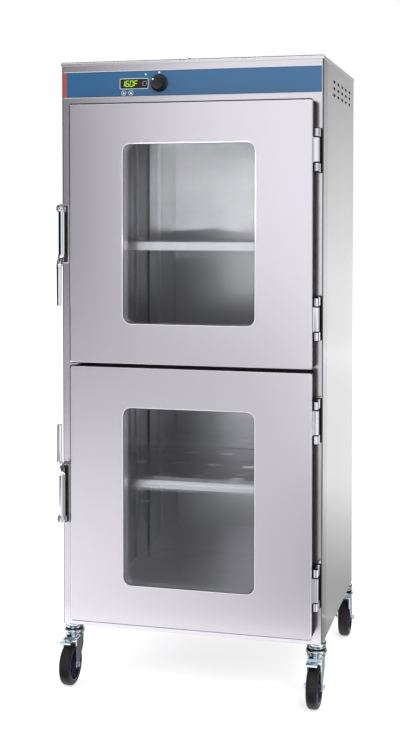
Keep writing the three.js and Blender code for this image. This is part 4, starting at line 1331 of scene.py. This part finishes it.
# Painted shade: black rings in the creases over and under each cup.
def caster_shade_rings(label):
    node = f"{label}_caster_cup"
    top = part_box(node)[1].z
    section = soft_band(*TOP_SHADE_RADII, top - TOP_SHADE_FROM, top - TOP_SHADE_TO, SHADE_RING_SOFT)
    top_shade_ring = about_swivel("top_shade_ring", label, section, closed=True)
    section = soft_band(*FOOT_SHADE_RADII, CUP_LOW, CUP_LOW + FOOT_SHADE_HEIGHT, SHADE_RING_SOFT)
    foot_shade_ring = about_swivel("foot_shade_ring", label, section, closed=True)
    shade_rings = join(f"{label}_seals", [top_shade_ring, foot_shade_ring])
    ride_beside(shade_rings, node, seal_and_shade_rubber, TURNED_ANGLE)


for label in CASTERS:
    caster_cup(label)
    caster_shade_rings(label)
print(len(CASTERS), "caster cups and their seals ready")

# %% [markdown]
# ## Caster forks
# A fork is one sheet bent over the wheel, with a turned bearing ring on its crown. Its front view is drawn
# out and then trimmed to its side view, straight at the crown and round about the axle, which is how the
# flat blank of a real fork gets its shape. The rear forks face the other way, so the side view takes the way
# its wheel trails. The front forks also carry the pin of a brake pedal.

# %% Fork drawing
TRAIL = 0.038
AXLE_HEIGHT = 0.0635
CROWN_LOW = 0.142
CROWN_HIGH = 0.146
CROWN_AHEAD = 0.043
CROWN_BEHIND = 0.017
CROWN_FOLD = 0.005  # outside radius of the fold from the crown to a leg
CROWN_INNER = 0.0015
FORK_INSIDE = 0.0198
FORK_OUTSIDE = 0.0228
FORK_END = 0.012
FORK_SHOULDER = 0.037
FORK_TAPER = 45
FORK_FOOT = 0.045  # a level below the legs


def fork_side(trail_way):
    """The side view of a fork, as (y, z) pairs about the swivel axis."""
    view = [(-CROWN_BEHIND, CROWN_HIGH), (CROWN_AHEAD, CROWN_HIGH), (CROWN_AHEAD, CROWN_LOW)]
    view += arc((TRAIL, AXLE_HEIGHT), FORK_END, 0, -180 + FORK_TAPER, 12)
    view += [(-CROWN_BEHIND, CROWN_HIGH - FORK_SHOULDER)]
    return [(trail_way * y, z) for y, z in view]


def fork_front():
    """The front view of the bent sheet that makes the crown and both legs, as (x, z) pairs."""
    corner = (FORK_OUTSIDE - CROWN_FOLD, CROWN_HIGH - CROWN_FOLD)
    inner = (FORK_INSIDE - CROWN_INNER, CROWN_LOW - CROWN_INNER)
    right = [(FORK_OUTSIDE, FORK_FOOT)] + arc(corner, CROWN_FOLD, 0, 90, 6)
    inside = arc(inner, CROWN_INNER, 90, 0, 3) + [(FORK_INSIDE, FORK_FOOT)]
    left = [(-x, z) for x, z in reversed(right)]
    return right + left + [(-x, z) for x, z in reversed(inside)] + inside


print("a fork is", round(FORK_OUTSIDE * 2000, 1), "mm wide outside")

# %% Bearing rings
KINGPIN_BORE = KINGPIN + 0.0004
NECK_RADIUS = 0.028
NECK_STEP = 0.003
NECK_EDGE = 0.002  # above the crown
NECK_SHOULDER = 0.0035
RING_LOW = 0.152
RING_RADIUS = 0.032
RING_BOWL = 0.008
RING_DRAWN = 0.006
RING_TOP = 0.1647
RING_LIP = 0.001


def bearing_ring(label):
    shoulder = NECK_RADIUS - NECK_STEP
    profile = [(KINGPIN_BORE, CROWN_HIGH - TINY), (NECK_RADIUS, CROWN_HIGH - TINY)]
    profile += [(NECK_RADIUS, CROWN_HIGH + NECK_EDGE), (shoulder, CROWN_HIGH + NECK_SHOULDER)]
    profile += [(shoulder, RING_LOW - RING_LIP)]
    profile += bowl(RING_RADIUS, RING_LOW, RING_LOW + RING_BOWL, RING_DRAWN)
    profile += [(RING_RADIUS, RING_TOP - 3 * RING_LIP), (RING_RADIUS - RING_LIP, RING_TOP - 1.2 * RING_LIP)]
    profile += [(RING_RADIUS - 3 * RING_LIP, RING_TOP), (KINGPIN_BORE, RING_TOP)]
    return about_swivel("bearing_ring", label, profile, closed=True)


print("bearing rings are", round(RING_RADIUS * 2000), "mm across")

# %% Caster forks
PEDAL_PIN = 0.002
PEDAL_PIN_PROUD = 0.001
PEDAL_PIN_EDGE = 0.0006
FORK_BEVEL = 0.0008


def pedal_pin(label):
    pivot = joint_at[f"{label}_pedal_pivot"]
    span = FORK_OUTSIDE + PEDAL_PIN_PROUD
    profile = [(0, -span), (PEDAL_PIN * PIN_END, -span), (PEDAL_PIN, -span + PEDAL_PIN_EDGE)]
    centre = (joint_at[f"{label}_swivel"].x, pivot.y, pivot.z)
    return turn("pedal_pin", mirrored(profile), centre, "X", steps=16)


def caster_fork(label, trail_way):
    node = f"{label}_caster_fork"
    low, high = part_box(node)
    swivel = joint_at[f"{label}_swivel"]
    front_view = [(swivel.x + x, z) for x, z in fork_front()]
    side_view = [(swivel.y + y, z) for y, z in fork_side(trail_way)]
    y0, y1 = low.y - TINY, high.y + TINY
    sheet = slab("bent_sheet", front_view, "Y", y0, y1 - y0)
    trimmer = slab("trimmer", side_view, "X", low.x - TINY, high.x - low.x + 2 * TINY)
    cut_away(sheet, trimmer, "INTERSECT")
    round_edges(sheet, FORK_BEVEL, segments=3, angle=45)
    parts = [sheet, bearing_ring(label)]
    if f"{label}_pedal_pivot" in joint_at:
        parts.append(pedal_pin(label))
    stand_for(join(f"{label}_fork", parts), node, zinc, CAST_ANGLE)


for label, trail_way in CASTERS.items():
    caster_fork(label, trail_way)
print(len(CASTERS), "caster forks ready")

# %% [markdown]
# ## Axles, tyres and hubs
# A bolt with two nuts carries each wheel. The wheel is a black tyre, rounded at its shoulders, on a dark
# plastic hub with a rim, a thin web and spokes. All of it is turned about the axle, except the nuts and the
# spokes, which are drawn from the side. The hub is only seen between the fork and the tyre.

# %% Axles
NUT_RADIUS = 0.009
NUT_HEIGHT = 0.007
NUT_BEVEL = 0.0009
AXLE_RADIUS = 0.005
THREAD_END = 0.0012
THREAD_TAPER = 0.8


def caster_axle(label):
    node = f"{label}_caster_axle"
    low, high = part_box(node)
    axle = joint_at[f"{label}_wheel_spin"]
    hexagon = circle((axle.y, axle.z), NUT_RADIUS, 6)
    parts = []
    for x, way in ((low.x, 1), (high.x, -1)):
        nut = slab("nut", hexagon, "X", x, way * NUT_HEIGHT)
        round_edges(nut, NUT_BEVEL, angle=25)
        parts.append(nut)
    half = (high.x - low.x) / 2
    end = -half - THREAD_END
    profile = [(0, end), (AXLE_RADIUS * THREAD_TAPER, end), (AXLE_RADIUS, -half)]
    parts.append(turn("bolt", mirrored(profile), axle, "X", steps=20))
    stand_for(join(f"{label}_axle", parts), node, zinc, TURNED_ANGLE)


for label in CASTERS:
    caster_axle(label)
print(len(CASTERS), "axles ready")

# %% Tyres
TYRE_HALF = 0.0175
TYRE_SHOULDER = 0.011
TYRE_FOOT = 0.002  # the foot's depth in the tyre's side, where it meets the rim
TYRE_BEAD = 0.0015
TYRE_SINK = 0.0002
RIM_RADIUS = 0.049
WHEEL_STEPS = 72


def caster_tyre(label):
    axle = joint_at[f"{label}_wheel_spin"]
    section = [(RIM_RADIUS, -TYRE_HALF + TYRE_FOOT), (RIM_RADIUS + TYRE_BEAD, -TYRE_HALF + TYRE_SINK)]
    section += arc((axle.z - TYRE_SHOULDER, -TYRE_HALF + TYRE_SHOULDER), TYRE_SHOULDER, -90, 0, 9)
    tyre = turn(f"{label}_tyre", mirrored(section), axle, "X", steps=WHEEL_STEPS, closed=True)
    stand_for(tyre, f"{label}_wheel", tyre_rubber, CAST_ANGLE)


print("tyres are", round(TYRE_HALF * 2000), "mm wide")

# %% Hubs and wheels
HUB_HALF = 0.0195
HUB_SOFT = 0.001
HUB_BORE = AXLE_RADIUS + 0.0003
RIM_INSIDE = RIM_RADIUS - 0.0045
RIM_SINK = 0.0008  # the rim's edge lies this deep in the tyre's side
RIM_BITE = 0.0002  # how far the rim reaches into the tyre
WEB_HALF = 0.008
BOSS_RADIUS = 0.014
SPOKES = 8
SPOKE_HALF = 0.0014
SPOKE_INSET = 0.004  # from the tyre's side
SPOKE_BEVEL = 0.0005


def hub_spoke(axle, number):
    angle = 2 * math.pi * number / SPOKES
    along = Vector((math.cos(angle), math.sin(angle)))
    across = Vector((-math.sin(angle), math.cos(angle))) * SPOKE_HALF
    root, tip = along * (BOSS_RADIUS - TINY), along * RIM_INSIDE
    corners = (root - across, tip - across, tip + across, root + across)
    outline = [Vector((axle.y, axle.z)) + corner for corner in corners]
    spoke = slab("spoke", outline, "X", axle.x - TYRE_HALF + SPOKE_INSET, 2 * (TYRE_HALF - SPOKE_INSET))
    round_edges(spoke, SPOKE_BEVEL)
    return spoke


def caster_hub(label):
    axle = joint_at[f"{label}_wheel_spin"]
    boss = [(HUB_BORE, -HUB_HALF), (BOSS_RADIUS - 2 * HUB_SOFT, -HUB_HALF)]
    boss += [(BOSS_RADIUS, -HUB_HALF + HUB_SOFT)]
    web = [(BOSS_RADIUS + HUB_SOFT, -WEB_HALF - HUB_SOFT), (BOSS_RADIUS + 3 * HUB_SOFT, -WEB_HALF)]
    web += [(RIM_INSIDE - 3 * HUB_SOFT, -WEB_HALF), (RIM_INSIDE - HUB_SOFT, -WEB_HALF - HUB_SOFT)]
    edge = -TYRE_HALF + RIM_SINK
    foot = -TYRE_HALF + TYRE_FOOT
    rim = [(RIM_INSIDE, foot), (RIM_INSIDE + HUB_SOFT, edge)]
    rim += [(RIM_RADIUS - HUB_SOFT, edge), (RIM_RADIUS + RIM_BITE, foot + RIM_BITE)]
    disc = turn("disc", mirrored(boss + web + rim), axle, "X", steps=WHEEL_STEPS, closed=True)
    spokes = [hub_spoke(axle, number) for number in range(SPOKES)]
    hub = join(f"{label}_hub", [disc] + spokes)
    ride_beside(hub, f"{label}_wheel", hub_plastic, CAST_ANGLE)


for label in CASTERS:
    caster_tyre(label)
    caster_hub(label)
print(len(CASTERS), "wheels with", SPOKES, "spokes each")

# %% [markdown]
# ## Brake pedals
# The two front casters have a pedal that a foot presses down. It is one bent plate: a knuckle round the pin,
# a flat tread, and a lip at its end. Its side view says it all, so it is drawn from the side and given its
# width.

# %% Brake pedals
PEDAL_KNUCKLE = 0.004
PEDAL_LENGTH = 0.043
PEDAL_PLATE = 0.0035
PEDAL_TURN = 0.003  # radius from the plate to its lip
PEDAL_BEVEL = 0.0008


def brake_pedal(label):
    node = f"{label}_brake_pedal"
    low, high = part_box(node)
    pivot = joint_at[f"{label}_pedal_pivot"]
    front, top = -PEDAL_LENGTH, PEDAL_KNUCKLE
    under = top - PEDAL_PLATE
    meet = math.degrees(math.asin(under / PEDAL_KNUCKLE))
    view = arc((0, 0), PEDAL_KNUCKLE, -90, 90, 12)
    view += arc((front + PEDAL_TURN, top - PEDAL_TURN), PEDAL_TURN, 90, 180, 6)
    view += [(front, -PEDAL_KNUCKLE), (front + PEDAL_PLATE, -PEDAL_KNUCKLE), (front + PEDAL_PLATE, under)]
    view += arc((0, 0), PEDAL_KNUCKLE, 180 - meet, 255, 6)
    outline = [(pivot.y + y, pivot.z + z) for y, z in view]
    pedal = slab(f"{label}_pedal", outline, "X", low.x, high.x - low.x)
    round_edges(pedal, PEDAL_BEVEL, angle=45)
    stand_for(pedal, node, zinc)


for label in ("front_left", "front_right"):
    brake_pedal(label)
print("brake pedals ready")

# %% [markdown]
# ## Blue film
# A blue printed film runs across the head of the frame. Its sheet has round corners and a hole for the
# display. The print is painted by the film's own coordinates: a pale line along the top and the bottom, blue
# that darkens towards them, and a plain orange band at the left end. The display, the pieces behind the film
# and the window panes keep their solids and only need a coat. The power inlet and the probe are finished as
# the folded sheets were.

# %% Film print
FILM_BLUE = (0.003, 0.102, 0.262)
FILM_EDGE = (0.002, 0.035, 0.110)
FILM_ORANGE = (0.52, 0.050, 0.004)
FILM_WHITE = (0.80, 0.78, 0.78)
FILM_IOR = 1.8
FILM_SMOOTH = 0.22
FILM_ROUGH = 0.26
FILM_MARGIN = 0.0016  # pale line along the top and the bottom
MARGIN_SOFT = 0.0002
EDGE_WIDTH = 0.003
BAND_FROM = -0.001  # orange band from the film's left end
BAND_TO = 0.0105
BAND_SOFT = 0.0004


def between(value, low, high, soft):
    """1 where a coordinate lies between two limits, and 0 outside them."""
    above = map_range(value, low - soft, low + soft)
    return calculate("MULTIPLY", above, map_range(value, high + soft, high - soft))


def printed_film(low, high):
    material, shader = start_material("blue film", FILM_BLUE, roughness=0.32)
    place = own_place(material.node_tree)
    inside = between(place["Z"], low.z + EDGE_WIDTH, high.z - EDGE_WIDTH, EDGE_WIDTH)
    band = between(place["X"], low.x + BAND_FROM, low.x + BAND_TO, BAND_SOFT)
    field = between(place["Z"], low.z + FILM_MARGIN, high.z - FILM_MARGIN, MARGIN_SOFT)
    printed = mix_colors(band, mix_colors(inside, FILM_EDGE, FILM_BLUE), FILM_ORANGE)
    waver = spread(masks_of(shader, mottling)["Patches"], FILM_SMOOTH, FILM_ROUGH)
    color = mix_colors(field, FILM_WHITE, printed)
    feed(shader, {"IOR": FILM_IOR, "Base Color": color, "Roughness": waver})
    return material


print("the orange band is", round((BAND_TO - BAND_FROM) * 1000, 1), "mm wide")

# %% Blue film
FILM_CORNER = 0.005
FILM_GAP = 0.0003  # between the film and the display
FILM_BEVEL = 0.0002
DISPLAY_CORNER = 0.0033


def blue_film():
    node = "control_overlay"
    low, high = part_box(node)
    film = slab("blue_film", rounded(face_edges(node), FILM_CORNER), "Y", low.y, high.y - low.y)
    hole = rounded(face_edges("display_window"), DISPLAY_CORNER, FILM_GAP)
    cut_away(film, slab("hole", hole, "Y", low.y - CUT_PAST, 2 * CUT_PAST))
    round_edges(film, FILM_BEVEL)
    stand_for(film, node, printed_film(low, high))


blue_film()
coats = {
    "display_window": display_plastic,
    "control_module": module_plastic,
    "heating_mat": heater_silicone,
    "upper_door_glass": window_glass,
    "lower_door_glass": window_glass,
}
for node, material in coats.items():
    coat(frame["nodes"][node], material)
folded("power_inlet", "power_socket", black_plastic, bevel=0.0008)
folded("temperature_probe", "probe", zinc, bevel=0.0008)
print("film ready, and", len(coats), "pieces coated")

# %% [markdown]
# ## Knob
# The temperature knob is a black cap with a skirt and a raised bar that points to the setting, with a white
# dot on the bar's end. The cap is turned. The bar is drawn along the pointer, so that it stands askew as the
# knob is set, and pushed out through the cap's face.

# %% Knob
KNOB_RADIUS = 0.026
KNOB_BODY = 0.022
KNOB_SKIRT = 0.006
KNOB_HEIGHT = 0.022
KNOB_GAP = 0.001
KNOB_SOFT = 0.001
KNOB_LIP = 0.007  # width of the raised lip round the cap's face
KNOB_DISH = 0.0012  # how deep the face lies within it
KNOB_BAR_HALF = 0.0045
KNOB_BAR_RISE = 0.004
KNOB_BAR_SINK = 0.003
KNOB_BAR_BEVEL = 0.0012
KNOB_POINTS = math.radians(90 + 53)  # the pointer's direction, from +X
KNOB_BACK = -KNOB_GAP
KNOB_FRONT = KNOB_BACK - KNOB_HEIGHT
DOT_RADIUS = 0.0028
DOT = [(0, 0.001), (DOT_RADIUS, 0.001), (DOT_RADIUS, 0), (DOT_RADIUS * 0.6, -0.0003), (0, -0.0004)]


def knob_point(along, across):
    """A place on the knob's face, along its pointer and across it, as an (x, z) pair."""
    pivot = joint_at["knob_turn"]
    cos, sin = math.cos(KNOB_POINTS), math.sin(KNOB_POINTS)
    return pivot.x + along * cos - across * sin, pivot.z + along * sin + across * cos


def temperature_knob():
    pivot = joint_at["knob_turn"]
    skirt = KNOB_BACK - KNOB_SKIRT
    profile = [(0, KNOB_BACK), (KNOB_RADIUS - KNOB_SOFT, KNOB_BACK), (KNOB_RADIUS, KNOB_BACK - KNOB_SOFT)]
    profile += [(KNOB_RADIUS, skirt + 2 * KNOB_SOFT), (KNOB_RADIUS - 2 * KNOB_SOFT, skirt)]
    profile += [(KNOB_BODY, skirt - KNOB_SOFT), (KNOB_BODY - KNOB_SOFT, KNOB_FRONT + 3 * KNOB_SOFT)]
    profile += [(KNOB_BODY - 3 * KNOB_SOFT, KNOB_FRONT), (KNOB_BODY - KNOB_LIP, KNOB_FRONT + KNOB_DISH)]
    profile += [(0, KNOB_FRONT + KNOB_DISH)]
    cap = turn("cap", profile, pivot, "Y", steps=64)
    tip = KNOB_BODY - 2 * KNOB_SOFT - KNOB_BAR_HALF
    outline = [knob_point(*point) for point in long_bar((0, 0), tip, KNOB_BAR_HALF, 8)]
    level = pivot.y + KNOB_FRONT + KNOB_BAR_SINK
    bar = slab("bar", outline, "Y", level, -KNOB_BAR_RISE - KNOB_BAR_SINK)
    round_edges(bar, KNOB_BAR_BEVEL, segments=3, angle=KEEP_CURVES)
    stand_for(join("knob_cap", [cap, bar]), "temperature_knob", black_plastic, CAST_ANGLE)
    x, z = knob_point(tip, 0)
    dot = turn("knob_dot", DOT, Vector((x, pivot.y + KNOB_FRONT - KNOB_BAR_RISE, z)), "Y", steps=24)
    ride_beside(dot, "temperature_knob", white_print)


temperature_knob()
print("knob", round(KNOB_RADIUS * 2000), "mm across")

# %% [markdown]
# ## Reading
# Each digit of the display is made of up to seven bars that glow. A bar is a long hexagon, drawn between its
# two ends, and the digits are slanted a little, as on a real display.

# %% Display reading
DIGIT_HEIGHT = 0.0165
DIGIT_WIDTH = 0.0090
DIGIT_PITCH = 0.0132
DIGIT_LEFT = 0.0035  # first digit from the display's left edge
DIGIT_SLANT = 0.12
BAR_HALF = 0.00085
BAR_GAP = 0.3  # room at a bar's end, beside its half width
BAR_ENDS = {  # both ends of each bar, in widths and half heights from the digit's lower left corner
    "a": ((0, 2), (1, 2)),
    "b": ((1, 2), (1, 1)),
    "c": ((1, 1), (1, 0)),
    "d": ((0, 0), (1, 0)),
    "e": ((0, 1), (0, 0)),
    "f": ((0, 2), (0, 1)),
    "g": ((0, 1), (1, 1)),
}
READING = ("bc", "acdefg", "abcdef", "aefg")
PRINT_THICKNESS = 0.0003


def bar_outline(bar, left, bottom):
    start, end = (Vector((wide * DIGIT_WIDTH, high * DIGIT_HEIGHT / 2)) for wide, high in BAR_ENDS[bar])
    along = (end - start).normalized() * BAR_HALF
    across = Vector((-along.y, along.x))
    near, far = start + along * BAR_GAP, end - along * BAR_GAP
    corners = [near, near + along + across, far - along + across]
    corners += [far, far - along - across, near + along - across]
    return [(left + x + DIGIT_SLANT * z, bottom + z) for x, z in corners]


def display_reading():
    low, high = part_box("display_window")
    bottom = (low.z + high.z) / 2 - DIGIT_HEIGHT / 2
    outlines = []
    for place, bars in enumerate(READING):
        left = low.x + DIGIT_LEFT + place * DIGIT_PITCH
        outlines += [bar_outline(bar, left, bottom) for bar in bars]
    digits = slabs("display_reading", outlines, "Y", low.y, -PRINT_THICKNESS)
    ride_beside(digits, "display_window", digit_glow, None)


display_reading()
print("reading of", len(READING), "digits")

# %% [markdown]
# ## Marks on the strip
# Beside the display there are a small lamp, a round key, two ringed signs and the knob's mark, and a thin
# pale line runs round the display. The lamp, the key and the mark stand a little proud, so they are turned.
# The signs and the line are flat prints, and rings again.

# %% Turned marks
LAMP_PLACE = (0.2663, 1.6734)  # from the casing's left side and above its bottom
KEY_LEFT = 0.2634
MARK_ABOVE = KNOB_RADIUS + 0.0055
LAMP_RADIUS = 0.0030
LAMP = [(0, 0.0004), (LAMP_RADIUS, 0.0004), (LAMP_RADIUS, -0.0004)]
LAMP += [(LAMP_RADIUS * 0.6, -0.0014), (0, -0.0018)]
MARK = [(0, 0.0002), (0.0032, 0.0002), (0.0032, -0.0002), (0.0028, -0.0004), (0, -0.0004)]
KEY_RADIUS = 0.0072
KEY_LINE = 0.0014
KEY = [(KEY_RADIUS - KEY_LINE, 0.0002), (KEY_RADIUS, 0.0002), (KEY_RADIUS, -0.0006)]
KEY += [(KEY_RADIUS - KEY_LINE / 2, -0.0010), (KEY_RADIUS - KEY_LINE, -0.0006)]

film_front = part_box("control_overlay")[0].y


def on_strip(left, up):
    return Vector((casing_left + left, film_front, casing_bottom + up))


def turned_mark(name, profile, centre, material, closed=False):
    mark = turn(name, profile, centre, "Y", steps=32, closed=closed)
    ride_beside(mark, "control_overlay", material, TURNED_ANGLE)


knob_pivot = joint_at["knob_turn"]
display_low, display_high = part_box("display_window")
key_place = Vector((casing_left + KEY_LEFT, display_low.y, (display_low.z + display_high.z) / 2))
mark_place = Vector((knob_pivot.x, film_front, knob_pivot.z + MARK_ABOVE))
turned_mark("power_lamp", LAMP, on_strip(*LAMP_PLACE), lamp_glow)
turned_mark("knob_mark", MARK, mark_place, white_print)
turned_mark("display_key", KEY, key_place, grey_print, closed=True)
print("lamp, mark and key ready")

# %% Printed marks
SIGN_PLACES = ((0.1977, 1.6189), (0.2202, 1.6189))
SIGN_RADIUS = 0.0074
SIGN_LINE = 0.0011
SIGN_CORNERS = 36
SIGN_TRIANGLE = SIGN_RADIUS * 0.62
TRIANGLE_DROP = 0.0006
DISPLAY_RIM = 0.0016


def print_on(piece):
    """A flat print gets its thickness and rides on the film."""
    bpy.ops.mesh.select_all(action="SELECT")
    push((0, -PRINT_THICKNESS, 0))
    face_out(piece)
    ride_beside(piece, "control_overlay", white_print, None)


def ringed_sign(name, centre):
    """A thin ring with a small triangle in it."""
    outer = circle((centre.x, centre.z), SIGN_RADIUS, SIGN_CORNERS)
    inner = circle((centre.x, centre.z), SIGN_RADIUS - SIGN_LINE, SIGN_CORNERS)
    sign = bridged(name, outer, inner, centre.y)
    fill(circle((centre.x, centre.z - TRIANGLE_DROP), SIGN_TRIANGLE, 3, 90), "Y", centre.y)
    print_on(sign)


def display_rim():
    edges = face_edges("display_window")
    outer = rounded(edges, DISPLAY_CORNER + DISPLAY_RIM, FILM_GAP + DISPLAY_RIM)
    print_on(bridged("display_rim", outer, rounded(edges, DISPLAY_CORNER, FILM_GAP), film_front))


display_rim()
for number, place in enumerate(SIGN_PLACES):
    ringed_sign(f"ringed_sign_{number + 1}", on_strip(*place))
print("display rim and", len(SIGN_PLACES), "signs ready")

# %% [markdown]
# ## Plug and screws
# A black plug closes a hole in the top near its front edge. Screws hold the back panel along its sides. One
# screw is turned, its cross slot is cut with two small blocks, and it is copied with its own mesh: each copy
# is moved and its place is applied, so the object itself stays at the origin.

# %% Top plug
PLUG_PLACE = Vector((casing_left + 0.399, casing_front + 0.009, casing_top))
PLUG_RADIUS = 0.005
PLUG = [(0, -0.001), (PLUG_RADIUS, -0.001), (PLUG_RADIUS, 0.0006), (PLUG_RADIUS * 0.7, 0.0022), (0, 0.0026)]

plug = turn("top_plug", PLUG, PLUG_PLACE, "Z", steps=24)
ride_beside(plug, "top_panel", black_plastic, TURNED_ANGLE)
print("plug", round(PLUG_RADIUS * 2000), "mm across")

# %% Screws
SCREW_RADIUS = 0.0042
SCREW_RISE = 0.0022
SCREW = [(0, -0.0005), (SCREW_RADIUS, -0.0005), (SCREW_RADIUS, 0.0007), (SCREW_RADIUS * 0.82, 0.0017)]
SCREW += [(SCREW_RADIUS * 0.45, SCREW_RISE), (0, SCREW_RISE)]
SLOT_HALF = 0.0005
SLOT_REACH = 0.0022
SLOT_DEPTH = 0.0011
BACK_SCREWS = 7
BACK_INSET = 0.014


def screw_model():
    """A pan-head screw at the origin, facing +Y, with a cross slot."""
    head = turn("screw", SCREW, (0, 0, 0), "Y", steps=20)
    for wide, tall in ((SLOT_REACH, SLOT_HALF), (SLOT_HALF, SLOT_REACH)):
        low = Vector((-wide, SCREW_RISE - SLOT_DEPTH, -tall))
        cut_away(head, block("slot", low, Vector((wide, SCREW_RISE + TINY, tall))))
    shade(head, TURNED_ANGLE)
    return head


def put_screw(model, name, place):
    take(model)
    bpy.ops.object.duplicate()
    screw = bpy.context.object
    screw.name = name
    screw.location = place
    bpy.ops.object.transform_apply(location=True, rotation=True, scale=True)
    ride_beside(screw, "back_panel", zinc, None)


model = screw_model()
back_low, back_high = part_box("back_panel")
screw_pitch = (back_high.z - back_low.z - 2 * BACK_INSET) / (BACK_SCREWS - 1)
for side, x in (("left", back_low.x + BACK_INSET), ("right", back_high.x - BACK_INSET)):
    for row in range(BACK_SCREWS):
        place = Vector((x, back_high.y, back_low.z + BACK_INSET + row * screw_pitch))
        put_screw(model, f"back_screw_{side}_{row + 1}", place)
bpy.data.objects.remove(model)
print(2 * BACK_SCREWS, "screws ready")

# %% [markdown]
# ## World and floor
# The floor is pale and plain. The world is white where the camera, metal and glass see it, and a little
# dimmer as a light, so that the background is white without more light on the cabinet. The floor glows a
# little in the same rays and keeps the shadow.

# %% World and floor
WORLD_LIGHT = 0.75
FLOOR_SIZE = 60.0
FLOOR_COLOR = (0.86, 0.86, 0.86)
FLOOR_GLOW = 0.6
WHITE = (1, 1, 1)


def seen_directly(tree):
    """1 for rays from the camera, from metal and through glass, and 0 for soft light."""
    rays = add_node(tree, "ShaderNodeLightPath").outputs
    metal = calculate("MAXIMUM", rays["Is Camera Ray"], rays["Is Glossy Ray"])
    return calculate("MAXIMUM", metal, rays["Is Transmission Ray"])


def white_world():
    world = bpy.data.worlds.new("white studio")
    scene.world = world
    world.use_nodes = True
    tree = world.node_tree
    tree.nodes.clear()
    light = add_node(tree, "ShaderNodeBackground", {"Color": WHITE, "Strength": WORLD_LIGHT})
    white = add_node(tree, "ShaderNodeBackground", {"Color": WHITE})
    both = {"Fac": seen_directly(tree), 1: light.outputs["Background"], 2: white.outputs["Background"]}
    mix = add_node(tree, "ShaderNodeMixShader", both)
    add_node(tree, "ShaderNodeOutputWorld", {"Surface": mix.outputs["Shader"]})


def pale_floor():
    deselect()
    bpy.ops.mesh.primitive_plane_add(size=FLOOR_SIZE)
    floor = bpy.context.object
    floor.name = "studio_floor"
    material, shader = start_material("pale floor", FLOOR_COLOR, roughness=0.9)
    glow = calculate("MULTIPLY", seen_directly(material.node_tree), FLOOR_GLOW)
    feed(shader, {"Specular IOR Level": 0.0, "Emission Color": WHITE, "Emission Strength": glow})
    coat(floor, material)


white_world()
pale_floor()
print("floor and world ready")

# %% [markdown]
# ## Cards and lamps
# Steel looks like whatever stands round it. Grey cards and dark flags stand outside the picture, as in a
# studio, so that the doors and sides have something to reflect besides white. They show in reflections only,
# and some fade along their length. Two broad lamps and a narrow beam into the chamber do the rest.

# %% Cards
CARD_RAYS = ("camera", "diffuse", "transmission", "shadow", "volume_scatter")  # rays that pass a card by
EVEN = (0, 1, 1, 1)


def card(name, low, high, brightness, across=None, upward=None):
    """A card that only reflections see. It can fade along X, and along Z or Y: from, to, both strengths."""
    board = block(name, Vector(low), Vector(high))
    material, shader = start_material(name, (0, 0, 0), roughness=1.0)
    feed(shader, {"Specular IOR Level": 0.0, "Emission Color": WHITE, "Emission Strength": brightness})
    if across:
        place = own_place(material.node_tree)
        axis = "Z" if high[2] - low[2] > high[1] - low[1] else "Y"
        level = calculate("MULTIPLY", map_range(place["X"], *across), map_range(place[axis], *upward))
        feed(shader, {"Emission Strength": level})
    coat(board, material)
    for ray in CARD_RAYS:
        setattr(board, f"visible_{ray}", False)


def fading_card(name, low, high, across, upward):
    card(name, low, high, 1, across, upward)


fading_card("front_wall", (-6, -4.4, 0.85), (-0.2, -4.3, 3.4), (-2.3, -0.9, 0.0, 1.07), (0.85, 1.6, 0.94, 1))
fading_card("low_wall", (-6, -4.4, 0.03), (-0.2, -4.3, 0.85), (-2.2, -0.4, 0.50, 0.58), (0.1, 0.8, 0.90, 1))
fading_card(
    "floor_patch", (-2.2, -4.2, 0.01), (2.5, -0.95, 0.02), (-0.9, 0.35, 1.16, 0.48), (-2.8, -1.2, 0.76, 1)
)
card("door_line", (-0.6, -0.62, 0.003), (0.7, -0.38, 0.006), 0.1)
card("under_floor", (-0.34, -0.3, 0.003), (0.31, 0.6, 0.006), 0.15)
card("right_floor", (0.41, -0.3, 0.003), (1.6, 0.5, 0.006), 0.40)
card("right_flag", (1.9, -0.45, 0.03), (2.0, 2.4, 3.2), 0.02)
card("near_flag", (1.9, -5, 0.03), (2.0, -3.2, 3.2), 0.02)
card("left_flag", (-2.7, -3.2, 0.03), (-2.6, 1.6, 3.2), 0.02)
card("ceiling_flag", (-3, -3, 4.2), (3, 2, 4.3), 0.05)
card("overhead_strip", (-2.0, -2.7, 4.1), (1.6, -1.9, 4.12), 2.5)
fading_card("high_card", (0.6, 3.0, 0.7), (3.0, 3.1, 4.0), EVEN, (1.1, 2.4, 1.06, 0.42))
fading_card("low_card", (0.41, 0.5, 0.01), (3.0, 8.0, 0.02), EVEN, (0.9, 2.6, 0.46, 1.04))
print("cards ready")

# %% Lamps
CHAMBER_BEAM = math.radians(2.5)


def lamp_panel(name, place, target, size, power, beam=math.pi):
    deselect()
    bpy.ops.object.light_add(type="AREA", location=place)
    lamp = bpy.context.object
    lamp.name = name
    lamp.data.size = size
    lamp.data.energy = power
    lamp.data.spread = beam
    lamp.visible_glossy = False
    lamp.rotation_euler = (Vector(target) - Vector(place)).to_track_quat("-Z", "Y").to_euler()


lamp_panel("key_lamp", (2.2, -3.6, 3.2), (0, 0, 1.0), size=1.6, power=60)
lamp_panel("fill_lamp", (-2.8, -3.0, 2.2), (0, 0, 0.9), size=1.8, power=25)
lamp_panel("chamber_lamp", (0.85, -3.9, 1.3), (-0.12, 0.29, 1.53), size=0.36, power=2.4, beam=CHAMBER_BEAM)
print("lamps ready")
